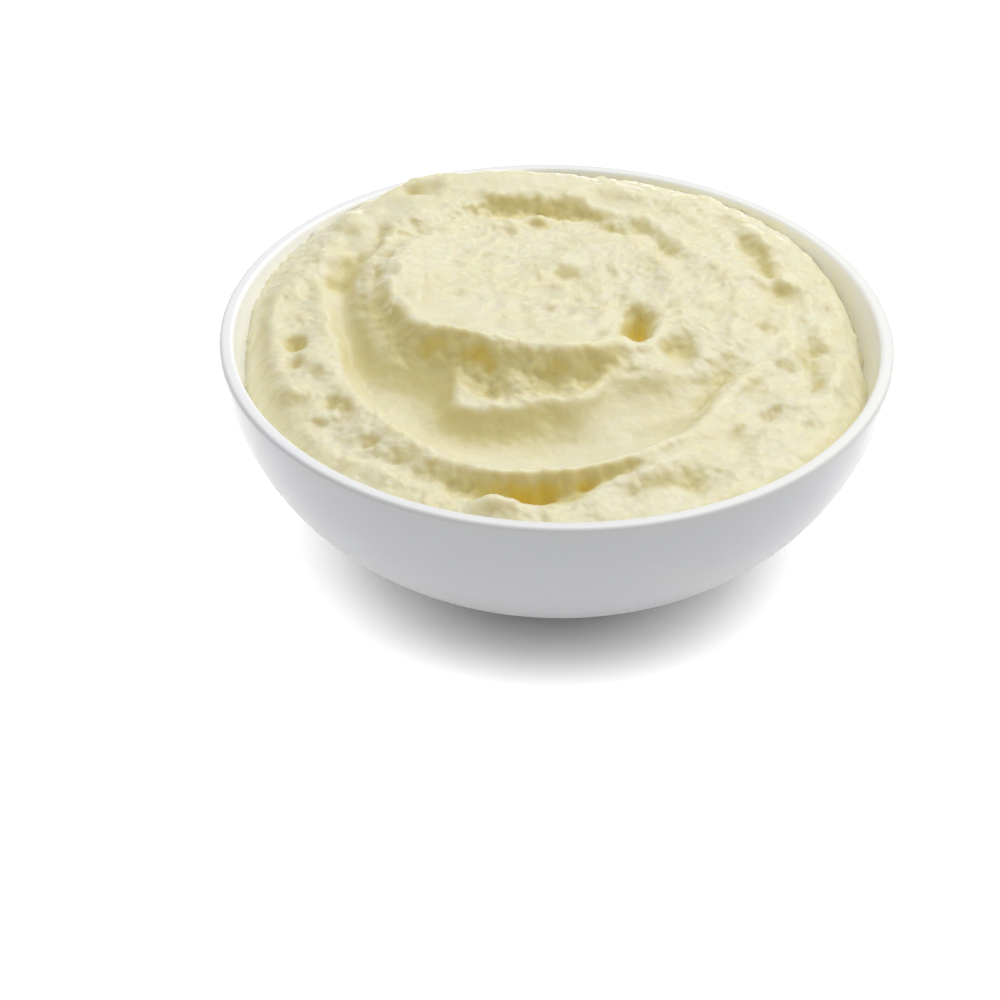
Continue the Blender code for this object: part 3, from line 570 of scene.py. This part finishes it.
def bowl_section():
    """Closed section of the bowl, from the lip down the outside and up the inside."""
    lip_outer = BOWL_RADIUS - LIP_ROUNDING
    lip_inner = BOWL_RADIUS - LIP_THICKNESS + LIP_ROUNDING
    section = arc(lip_outer, -LIP_ROUNDING, LIP_ROUNDING, 90, 0, LIP_STEPS)
    foot_top = depth_at_body_radius(FOOT_RADIUS)
    for i in range(1, BOWL_BODY_STEPS + 1):
        share = math.sin(0.5 * math.pi * i / BOWL_BODY_STEPS)
        depth = LIP_ROUNDING + (foot_top - LIP_ROUNDING) * share
        section.append((body_radius(depth), -depth))
    foot_inner = FOOT_RADIUS - FOOT_WIDTH
    section += [
        (FOOT_RADIUS, -BOWL_HEIGHT + FOOT_EDGE),
        (FOOT_RADIUS - FOOT_EDGE, -BOWL_HEIGHT),
        (foot_inner, -BOWL_HEIGHT),
        (foot_inner - FOOT_EDGE, -BOWL_HEIGHT + RECESS_DEPTH),
        (0.0, -BOWL_HEIGHT + RECESS_DEPTH),
    ]
    inside_depth = LIP_DROP + BODY_DEPTH - FLOOR_THICKNESS
    for i in range(BOWL_INSIDE_STEPS):
        share = math.cos(0.5 * math.pi * i / BOWL_INSIDE_STEPS)
        depth = LIP_ROUNDING + (inside_depth - LIP_ROUNDING) * share
        section.append((float(inner_wall_radius(depth)), -depth))
    return section + arc(lip_inner, -LIP_ROUNDING, LIP_ROUNDING, 180, 90, LIP_STEPS)


def scattered(cell, order):
    """A number below HASH_SIZE for each cell of space, from a shuffled order."""
    i, j, k = (cell % HASH_SIZE).T
    return order[(i + order[(j + order[k]) % HASH_SIZE]) % HASH_SIZE]


def lattice_noise(points, size, seed):
    """Smooth noise in space between about -1 and 1, with hills of a given size."""
    rng = np.random.default_rng(seed)
    slopes = rng.normal(size=(HASH_SIZE, 3))
    slopes /= np.linalg.norm(slopes, axis=1)[:, None]
    order = rng.permutation(HASH_SIZE)
    place = points / size + rng.uniform(0, HASH_SIZE, 3)
    base = np.floor(place).astype(int)
    part = place - base
    fade = part**3 * (part * (part * 6 - 15) + 10)
    total = np.zeros(len(points))
    for corner in itertools.product((0, 1), repeat=3):
        slope = slopes[scattered(base + corner, order)]
        weight = np.prod(np.where(corner, fade, 1 - fade), axis=1)
        total += weight * np.sum(slope * (part - corner), axis=1)
    return NOISE_GAIN * total


def crumb_noise(points, size, seed):
    """Distance to the nearest of many scattered centres, in crumb sizes."""
    rng = np.random.default_rng(seed)
    jitter = rng.uniform(*CRUMB_JITTER, (HASH_SIZE, 3))
    order = rng.permutation(HASH_SIZE)
    place = points / size
    base = np.floor(place).astype(int)
    nearest = np.full(len(points), np.inf)
    for step in itertools.product((-1, 0, 1), repeat=3):
        cell = base + step
        centre = cell + jitter[scattered(cell, order)]
        nearest = np.minimum(nearest, np.sum((place - centre) ** 2, axis=1))
    return np.sqrt(nearest)


def round_swirl(x, y):
    """Distance from the swirl's centre, and the angle there."""
    dx, dy = x - SWIRL_CENTRE[0], y - SWIRL_CENTRE[1]
    return np.hypot(dx, dy), np.arctan2(dy, dx)


def lip_ridge(x, y):
    """Soft ridge just outside the basin's crest, thicker and thinner along its way."""
    distance, angle = round_swirl(x, y)
    size, width, outside = LIP_RIDGE
    aside = (distance - round_track(BASIN_CREST, angle)[..., 0] - outside) / width
    facing = np.cos(angle - math.radians(LIP_RIDGE_ANGLE))
    window = ramp(LIP_RIDGE_SPREAD[0] * facing + LIP_RIDGE_SPREAD[1])
    breaks = 1 + LIP_RIDGE_BREAKS[1] * noise(x, y, LIP_RIDGE_BREAKS[0], LIP_RIDGE_SEED)
    return size * window * breaks * np.exp(-aside**2)


def streaks(x, y):
    """Long low lines that the spoon left round the bowl. Each field fades into its own start."""
    distance, angle = round_swirl(x, y)
    turn = angle / (2 * math.pi) + 0.5
    join = ramp((turn - STREAK_JOIN[0]) / STREAK_JOIN[1])
    height = np.zeros_like(x)
    for order, (size, cells, depth) in enumerate(STREAKS):
        once = noise(distance / size, turn * cells, 1.0, STREAK_SEED + order)
        again = noise(distance / size, (turn - 1) * cells, 1.0, STREAK_SEED + order)
        height += depth * (once + (again - once) * join)
    return height


def drift(x, y, steps, x_seed, y_seed):
    """Places moved sideways by noise of a few sizes."""
    moved_x, moved_y = x.copy(), y.copy()
    for order, (size, reach) in enumerate(steps):
        moved_x += reach * noise(x, y, size, x_seed + order)
        moved_y += reach * noise(y, x, size, y_seed + order)
    return moved_x, moved_y


def fine_relief(x, y):
    """The solid's relief with finer drift, creases and lumps, and how torn each place is."""
    warped_x, warped_y = drift(x, y, DRIFTS, DRIFT_X_SEED, DRIFT_Y_SEED)
    near_x, near_y = drift(x, y, FINE_DRIFTS, FINE_X_SEED, FINE_Y_SEED)
    warped_x, warped_y = warped_x + near_x - x, warped_y + near_y - y
    height, torn = swirl(warped_x, warped_y)
    for order, (size, depth) in enumerate(LUMPS):
        height = height + torn * depth * noise(x, y, size, LUMP_SEED + order)
    height = height + lip_ridge(warped_x, warped_y) + streaks(warped_x, warped_y) * (STREAK_REST + torn)
    for strokes, marks, share in ((STROKES, MARKS, DIP_DEPTH), (FINE_STROKES, FINE_MARKS, FINE_DIP_DEPTH)):
        placed = stroke_height(near_x, near_y, strokes) + mark_height(near_x, near_y, marks)
        height = height + np.where(placed < 0, placed * share, placed)
    return height, torn


def ring_triangles(rings):
    """Triangles between rings of unlike counts, from a middle point outward. Each ring is its angles."""
    start, first = 1, len(rings[0])
    triangles = [(0, 1 + i, 1 + (i + 1) % first) for i in range(first)]
    for inner, outer in zip(rings, rings[1:]):
        m, n = len(inner), len(outer)
        inner_next = list(inner[1:]) + [2 * math.pi]
        outer_next = list(outer[1:]) + [2 * math.pi]
        i, j = 0, 0
        while i < m or j < n:
            a, b = start + i % m, start + m + j % n
            if j < n and (i >= m or outer_next[j] <= inner_next[i]):
                triangles.append((a, b, start + m + (j + 1) % n))
                j += 1
            else:
                triangles.append((a, b, start + (i + 1) % m))
                i += 1
        start += m
    return triangles


def even_angles(count):
    return np.arange(count) * 2 * math.pi / count


def circle(angles, radius, *level):
    """Points round the bowl's axis, seen from above or at a level."""
    return np.column_stack([np.cos(angles) * radius, np.sin(angles) * radius, *level])


def mash_surface():
    """Points and triangles of the fine mash, how torn each is, and how far from the wall."""
    plan, room = [np.zeros((1, 2))], [np.full(1, BOWL_RADIUS)]
    edge = [np.column_stack(mash_edge(np.zeros(1)))]
    rings = [even_angles(ring * POINTS_PER_RING) for ring in range(1, FINE_RINGS + 1)]
    for ring, angles in enumerate(rings, 1):
        edge.append(np.column_stack(mash_edge(angles)))
        wall = inner_wall_radius(-edge[-1][:, 1] - wall_drift(angles)) - WALL_GAP
        radius = wall * ring / FINE_RINGS
        plan.append(circle(angles, radius))
        room.append(wall - radius)
    plan, room, edge = np.vstack(plan), np.concatenate(room), np.vstack(edge)
    relief, torn = fine_relief(plan[:, 0], plan[:, 1])
    inside = np.clip(room / edge[:, 2], 0.0, 1.0)
    shoulder = 1 - (1 - inside) ** SHOULDER_POWER
    height = edge[:, 1] + (relief - edge[:, 1]) * shoulder
    height += wall_drift(np.arctan2(plan[:, 1], plan[:, 0])) * np.exp(-room / WALL_TRACE)
    points = [np.column_stack([plan, height])]
    bottom = -(LIP_DROP + BODY_DEPTH - FLOOR_THICKNESS) + MASH_GAP
    for share, count in SIDE_RINGS:
        rings.append(even_angles(count))
        edge_height = mash_edge(rings[-1])[1]
        level = edge_height + (bottom - edge_height) * share
        points.append(circle(rings[-1], inner_wall_radius(-level + MASH_GAP) - MASH_GAP, level))
    points = np.vstack([*points, (0.0, 0.0, bottom)])
    end, last = len(points) - 1, len(rings[-1])
    triangles = ring_triangles(rings)
    triangles += [(end - last + i, end, end - last + (i + 1) % last) for i in range(last)]
    below = np.zeros(len(points) - len(plan))
    return points, np.array(triangles), np.concatenate([torn, below]), np.concatenate([room, below])


class Net:
    """Neighbours of the points of a triangle mesh."""

    def __init__(self, triangles, count):
        self.triangles, self.count = triangles, count
        pairs = np.vstack([triangles[:, [0, 1]], triangles[:, [1, 2]], triangles[:, [2, 0]]])
        pairs = np.unique(np.sort(pairs, axis=1), axis=0)
        self.a, self.b = pairs.T
        self.degree = np.bincount(self.a, minlength=count) + np.bincount(self.b, minlength=count)

    def around(self, column):
        """Sum of the values at each point's neighbours."""
        total = np.bincount(self.a, column[self.b], self.count)
        return total + np.bincount(self.b, column[self.a], self.count)

    def smooth(self, values, times):
        """Values with each point moved to the mean of its neighbours, a number of times."""
        columns = np.atleast_2d(values.T)
        for _ in range(times):
            columns = np.array([self.around(column) for column in columns]) / self.degree
        return columns.T if values.ndim == 2 else columns[0]

    def normals(self, points):
        a, b, c = (points[self.triangles[:, i]] for i in range(3))
        face = np.cross(b - a, c - a)
        total = np.zeros_like(points)
        for corner, axis in itertools.product(range(3), repeat=2):
            total[:, axis] += np.bincount(self.triangles[:, corner], face[:, axis], self.count)
        return total / np.maximum(np.linalg.norm(total, axis=1), TINY)[:, None]


def shade_to_paint(points):
    """Share of the sky that the mash round each point of its top hides, from a grid of its heights,
    weighted to the key light's side: it sets the painted shade in the potato's colour.
    """
    count = int(2 * BOWL_RADIUS / PAINTED_SHADE_GRID) + 1
    cell = np.clip(((points[:, :2] + BOWL_RADIUS) / PAINTED_SHADE_GRID).astype(int), 0, count - 1)
    index = cell[:, 0] * count + cell[:, 1]
    top = points[:, 2] > -RELIEF_DEPTH
    filled = np.bincount(index[top], minlength=count * count)
    level = np.bincount(index[top], points[top, 2], count * count) / np.maximum(filled, 1)
    level = np.where(filled, level, -RELIEF_DEPTH).reshape(count, count)
    hidden = np.zeros_like(level)
    for way in range(PAINTED_SHADE_WAYS):
        angle = 2 * math.pi * way / PAINTED_SHADE_WAYS
        horizon = np.zeros_like(level)
        for reach in PAINTED_SHADE_REACHES:
            step = (-round(reach * math.cos(angle)), -round(reach * math.sin(angle)))
            away = math.hypot(*step) * PAINTED_SHADE_GRID
            horizon = np.maximum(horizon, (np.roll(level, step, axis=(0, 1)) - level) / away)
        weight = 1 + PAINTED_SHADE_BIAS * math.cos(angle - math.radians(PAINTED_SHADE_LIGHT_SIDE))
        hidden += weight * horizon**2 / (1 + horizon**2) / PAINTED_SHADE_WAYS
    return np.where(top, hidden.ravel()[index], 0.0)


def add_billows(points, net, torn, free):
    """Lumps with creases between them, moved along the surface's own direction."""
    for order, (size, depth, wander) in enumerate(BILLOWS):
        place = points.copy()
        for axis in range(3):
            place[:, axis] += wander * lattice_noise(points, size / 2, WANDER_SEED + axis)
        hills = np.hypot(lattice_noise(place, size, BILLOW_SEED + order), BILLOW_ROUND)
        hills = hills * BILLOW_CREASE - BILLOW_REST
        points = points + net.normals(points) * (free * (torn + SMOOTH_SHARE) * depth * hills)[:, None]
    return points


def add_pits(points, net, torn, free):
    pits = ramp((lattice_noise(points, PIT_SIZE, PIT_SEED) - PIT_START) / PIT_RISE)
    return points - net.normals(points) * (free * torn * PIT_DEPTH * pits)[:, None]


def add_crumbs(points, net, torn, free):
    crumbs = 1 - np.minimum(crumb_noise(points, CRUMB_SIZE, CRUMB_SEED) / CRUMB_REACH, 1.0) ** 2
    middle, contrast = CRUMB_PATCH_SPREAD
    patches = ramp(middle + contrast * lattice_noise(points, CRUMB_PATCH, CRUMB_PATCH_SEED))
    return points + net.normals(points) * (free * torn * patches * CRUMB_DEPTH * crumbs)[:, None]


def add_grain(points, net, torn, free):
    for size, depth, smooth_depth in GRAINS:
        grain = lattice_noise(points, size, GRAIN_SEED)
        points = points + net.normals(points) * (free * (torn * depth + smooth_depth) * grain)[:, None]
    return points


def keep_inside_wall(points):
    reach = np.hypot(points[:, 0], points[:, 1])
    limit = inner_wall_radius(-points[:, 2]) - WALL_GAP
    points[:, :2] *= np.minimum(1.0, limit / np.maximum(reach, TINY))[:, None]


def new_mesh(name, points, faces, attribute, values):
    """Smooth mesh with a value at each point. Its points come with heights from the rim's top."""
    points[:, 2] += BOWL_HEIGHT
    mesh = bpy.data.meshes.new(name)
    mesh.from_pydata(points.tolist(), [], faces)
    mesh.attributes.new(attribute, "FLOAT", "POINT").data.foreach_set("value", values.astype(np.float32))
    mesh.shade_smooth()
    return mesh


def sharpen_rim(mesh):
    """Hard edge where the mash's top meets its side, at the last ring of the top."""
    rim_start = 1 + POINTS_PER_RING * FINE_RINGS * (FINE_RINGS - 1) // 2
    ends = np.empty(2 * len(mesh.edges), dtype=int)
    mesh.edges.foreach_get("vertices", ends)
    ends = ends.reshape(-1, 2) - rim_start
    on_rim = np.all((ends >= 0) & (ends < POINTS_PER_RING * FINE_RINGS), axis=1)
    mesh.attributes.new("sharp_edge", "BOOLEAN", "EDGE").data.foreach_set("value", on_rim)


def detailed_mash():
    """The mash as a mesh: its relief, evened out and then worked finer step by step."""
    points, triangles, torn, room = mash_surface()
    net = Net(triangles, len(points))
    turn = np.arctan2(points[:, 1], points[:, 0])
    torn = net.smooth(torn, TORN_SMOOTHING) * round_track(ROUGH_ROUND, turn)[:, 0]
    free = ramp(room / WALL_FADE)
    points += (net.smooth(points, ROUNDING) - points) * free[:, None]
    for work in (add_billows, add_pits, add_crumbs, add_grain):
        points = work(points, net, torn, free)
    keep_inside_wall(points)
    # Painted shade: how shut in each point is, kept on the mesh for the potato's colour
    painted_shade = net.smooth(shade_to_paint(points) * ramp(room / PAINTED_SHADE_FADE), PAINTED_SHADE_ROUNDING)
    mesh = new_mesh("mash", points, triangles.tolist(), "painted_shade", painted_shade)
    sharpen_rim(mesh)
    return mesh


def smooth_bowl():
    """The bowl turned from its section, with a mask on its inside for the mash's smear and the painted
    reflection of the mash.
    """
    section = bowl_section()
    angles = even_angles(BOWL_SEGMENTS)
    on_axis = [i for i, (radius, _) in enumerate(section) if radius < MERGE]
    low, high = section[on_axis[0]][1], section[on_axis[-1]][1]
    from_axis = section[on_axis[0]:] + section[:on_axis[0]]
    profile = [(radius, level) for radius, level in from_axis if radius >= MERGE]
    rings = [circle(angles, radius, np.full(BOWL_SEGMENTS, level)) for radius, level in profile]
    points = np.vstack([(0.0, 0.0, high), *rings, (0.0, 0.0, low)])
    faces = []
    n = BOWL_SEGMENTS
    for k in range(len(profile) - 1):
        for i in range(n):
            a, b = 1 + k * n + i, 1 + k * n + (i + 1) % n
            faces.append((a, a + n, b + n, b))
    last = 1 + (len(profile) - 1) * n
    for i in range(n):
        faces.append((0, 1 + i, 1 + (i + 1) % n))
        faces.append((last + i, len(points) - 1, last + (i + 1) % n))
    reach, angle = np.hypot(points[:, 0], points[:, 1]), np.arctan2(points[:, 1], points[:, 0])
    # Smear and painted reflection of the mash: fades up the inner wall from the mash's line
    above = points[:, 2] - mash_edge(angle)[1] - wall_drift(angle)
    inner = np.abs(reach - inner_wall_radius(-points[:, 2])) < SMEAR_SKIN
    smear_and_reflection = inner * np.clip(1 - above / SMEAR_AND_REFLECTION_HEIGHT, 0.0, 1.0)
    return new_mesh("bowl_smooth", points, faces, "smear_and_reflection", smear_and_reflection)


class Nodes:
    """Short ways to build a material's node tree."""

    def __init__(self, name):
        self.material = bpy.data.materials.new(name)
        self.material.use_nodes = True
        self.tree = self.material.node_tree
        self.shader = self.tree.nodes["Principled BSDF"]
        self.place = self.add("ShaderNodeTexCoord").outputs["Object"]

    def add(self, kind, **settings):
        node = self.tree.nodes.new(kind)
        for key, value in settings.items():
            setattr(node, key, value)
        return node

    def put(self, socket, value):
        if isinstance(value, bpy.types.NodeSocket):
            self.tree.links.new(value, socket)
        else:
            socket.default_value = value

    def fill(self, node, **values):
        """Give a node's inputs their values or links, and return its outputs."""
        for name, value in values.items():
            self.put(node.inputs[name.replace("_", " ")], value)
        return node.outputs

    def noise(self, size, detail, rough=0.5):
        node = self.add("ShaderNodeTexNoise")
        return self.fill(node, Vector=self.place, Scale=1.0 / size, Detail=detail, Roughness=rough)["Fac"]

    def along(self, axis):
        return self.fill(self.add("ShaderNodeSeparateXYZ"), Vector=self.place)[axis]

    def reach(self, value, low, high, to_low=0.0, to_high=1.0):
        node = self.add("ShaderNodeMapRange", interpolation_type="SMOOTHSTEP")
        ends = {"From_Min": low, "From_Max": high, "To_Min": to_low, "To_Max": to_high}
        return self.fill(node, Value=value, **ends)["Result"]

    def patches(self, size, detail, low, high, to_low=0.0, to_high=1.0):
        return self.reach(self.noise(size, detail), low, high, to_low, to_high)

    def math(self, operation, a, b):
        node = self.add("ShaderNodeMath", operation=operation)
        self.put(node.inputs[0], a)
        self.put(node.inputs[1], b)
        return node.outputs[0]

    def mix(self, share, a, b):
        node = self.add("ShaderNodeMix", data_type="RGBA")
        self.put(node.inputs["Factor"], share)
        for socket, colour in ((node.inputs["A"], a), (node.inputs["B"], b)):
            self.put(socket, colour if isinstance(colour, bpy.types.NodeSocket) else (*colour, 1.0))
        return node.outputs["Result"]

    def attribute(self, name):
        return self.add("ShaderNodeAttribute", attribute_name=name).outputs["Fac"]

    def bump(self, size, detail, rough, distance, strength, below=None):
        node = self.add("ShaderNodeBump")
        self.fill(node, Height=self.noise(size, detail, rough), Distance=distance, Strength=strength)
        if below is not None:
            self.put(node.inputs["Normal"], below)
        return node.outputs["Normal"]

    def set(self, **values):
        self.fill(self.shader, **values)


def potato_material():
    """Moist mashed potato: pale cream with fine grain and flecks, and painted shade, a darker and deeper
    yellow, in its hollows and on slopes turned from the key light.
    """
    n = Nodes("potato")
    painted_shade = n.attribute("painted_shade")
    cream = n.mix(n.patches(*CREAM_PATCHES), CREAM, CREAM_WARM)
    cream = n.mix(n.math("MULTIPLY", n.patches(*FLECKS), FLECK_SHARE), cream, CREAM_PALE)
    # Painted shade: yellower and darker where the mash is shut in, deepest in its pits
    colour = n.mix(n.reach(painted_shade, *PAINTED_SHADE_RANGE), cream, PAINTED_SHADE_YELLOW)
    colour = n.mix(n.reach(painted_shade, *PAINTED_DEEP_SHADE_RANGE), colour, PAINTED_DEEP_SHADE_YELLOW)
    normal = n.bump(*POTATO_GRAIN, below=n.bump(*POTATO_RIPPLE))
    n.set(Base_Color=colour, Normal=normal, Roughness=n.patches(*POTATO_ROUGHNESS))
    n.set(Subsurface_Weight=0.8, Subsurface_Scale=0.0032, Subsurface_Radius=(1.0, 0.80, 0.36))
    n.set(Coat_Weight=0.30, Coat_Roughness=0.14, Specular_IOR_Level=0.35)
    return n.material


def glaze_material():
    """Satin white glaze, with the faint waves of a dipped bowl, a film of mash on its inside that is
    partly painted reflection and painted shade, and a painted warm highlight on its lip.
    """
    n = Nodes("glaze")
    # Painted warm highlight on the lip's top, inside and out
    lip_warmth = n.reach(n.along("Z"), BOWL_HEIGHT - LIP_THICKNESS, BOWL_HEIGHT, 0.0, LIP_PAINTED_WARMTH)
    film_and_painted_light = n.math("MAXIMUM", n.math("MULTIPLY", n.attribute("smear_and_reflection"), n.patches(*FILM_PATCHES)), lip_warmth)
    # Painted shade: the film is given far more on the shaded right wall than on the lit left
    share = n.reach(n.along("X"), -BOWL_RADIUS, BOWL_RADIUS, *SHADED_SIDE_FILM_SHARES)
    glaze = n.mix(n.patches(*GLAZE_PATCHES), GLAZE_WHITE, GLAZE_COOL)
    colour = n.mix(n.math("MULTIPLY", film_and_painted_light, share), glaze, FILM_AND_REFLECTION_COLOUR)
    n.set(Base_Color=colour, Normal=n.bump(*GLAZE_WAVES), Roughness=n.patches(*GLAZE_ROUGHNESS))
    n.set(Coat_Weight=0.06, Coat_Roughness=0.12, Specular_IOR_Level=0.35)
    return n.material


def floor_material():
    n = Nodes("floor")
    n.set(Base_Color=(*FLOOR_COLOUR, 1.0), Roughness=0.9, Specular_IOR_Level=0.1)
    return n.material


def add_object(name, data):
    thing = bpy.data.objects.new(name, data)
    bpy.context.scene.collection.objects.link(thing)
    return thing


def add_piece(name, mesh, material, node):
    piece = add_object(name, mesh)
    mesh.materials.append(material)
    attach(piece, "root")
    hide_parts(node)
    return piece


def add_floor():
    """A wide grey disc, white under its own lights. It throws no light back on the bowl."""
    mesh = bpy.data.meshes.new("floor")
    rim = [(math.cos(a) * FLOOR_RADIUS, math.sin(a) * FLOOR_RADIUS, 0.0) for a in even_angles(FLOOR_SIDES)]
    mesh.from_pydata(rim, [], [tuple(range(FLOOR_SIDES))])
    mesh.materials.append(floor_material())
    floor = add_object("floor", mesh)
    floor.visible_diffuse = False
    return floor


def add_light(name, place, size, power):
    light = bpy.data.lights.new(name, "AREA")
    light.shape, light.size, light.energy = "DISK", size, power
    lamp = add_object(name, light)
    lamp.location = place
    lamp.rotation_euler = (LIGHT_TARGET - Vector(place)).to_track_quat("-Z", "Y").to_euler()
    return lamp


def add_sun(name, place, across, strength):
    light = bpy.data.lights.new(name, "SUN")
    light.angle, light.energy = math.radians(across), strength
    lamp = add_object(name, light)
    lamp.rotation_euler = Vector(place).to_track_quat("Z", "Y").to_euler()
    return lamp


def light_group(name, piece):
    """Collection that lets a light reach one piece alone."""
    group = bpy.data.collections.new(name)
    group.objects.link(piece)
    return group


def add_world():
    world = bpy.data.worlds.new("studio")
    bpy.context.scene.world = world
    world.use_nodes = True
    background = world.node_tree.nodes["Background"]
    background.inputs["Color"].default_value = (*WORLD_COLOUR, 1.0)
    background.inputs["Strength"].default_value = WORLD_STRENGTH


def turned(first, second, angle):
    """Two directions at right angles, both turned in their plane."""
    c, s = math.cos(angle), math.sin(angle)
    return c * first - s * second, s * first + c * second


def add_camera():
    """Camera at the photo's angle, turned so that the rim's middle falls at its place in the frame."""
    focal = PIXELS_PER_METRE * CAMERA_DISTANCE
    ahead = np.array([0, math.cos(CAMERA_ELEVATION), -math.sin(CAMERA_ELEVATION)])
    up = np.array([0, math.sin(CAMERA_ELEVATION), math.cos(CAMERA_ELEVATION)])
    right = np.array([1.0, 0, 0])
    eye = np.array([0, 0, BOWL_HEIGHT]) - ahead * CAMERA_DISTANCE
    x, y = (RIM_PIXEL[0] - IMAGE_SIZE / 2) / focal, -(RIM_PIXEL[1] - IMAGE_SIZE / 2) / focal
    x, y = turned(x, y, -CAMERA_ROLL)
    pitch = math.atan(y)
    ahead, up = turned(ahead, up, pitch)
    ahead, right = turned(ahead, right, math.atan(x * math.cos(pitch)))
    right, up = turned(right, up, CAMERA_ROLL)
    data = bpy.data.cameras.new("camera")
    data.sensor_width = SENSOR
    data.lens = focal / IMAGE_SIZE * SENSOR
    data.clip_end = CAMERA_REACH
    camera = add_object("camera", data)
    columns = np.column_stack([right, up, -ahead, eye])
    camera.matrix_world = Matrix(np.vstack([columns, [0, 0, 0, 1]]).tolist())
    bpy.context.scene.camera = camera


add_camera()
add_world()
add_light("key", *KEY_LIGHT)
lit_floor = light_group("lit_floor", add_floor())
add_light("floor_wash", *FLOOR_WASH).light_linking.receiver_collection = lit_floor
for sun in FLOOR_SUNS:
    add_sun(*sun).light_linking.receiver_collection = lit_floor
bowl = add_piece("bowl_glazed", smooth_bowl(), glaze_material(), "bowl")
lit_bowl = light_group("lit_bowl", bowl)
for name, quarters, power in WALL_LIGHTS:
    lamp = add_light(name, (0.0, 0.0, WALL_LIGHT_HEIGHT), WALL_LIGHT_SIZE, power)
    lamp.rotation_euler = (0.0, quarters * math.pi / 2, 0.0)
    lamp.visible_camera = lamp.visible_glossy = False
    lamp.light_linking.receiver_collection = lit_bowl
    lamp.light_linking.blocker_collection = lit_bowl
add_piece("mash_worked", detailed_mash(), potato_material(), "mashed_potato")
bpy.context.scene.view_settings.view_transform = "Standard"
bpy.context.view_layer.update()
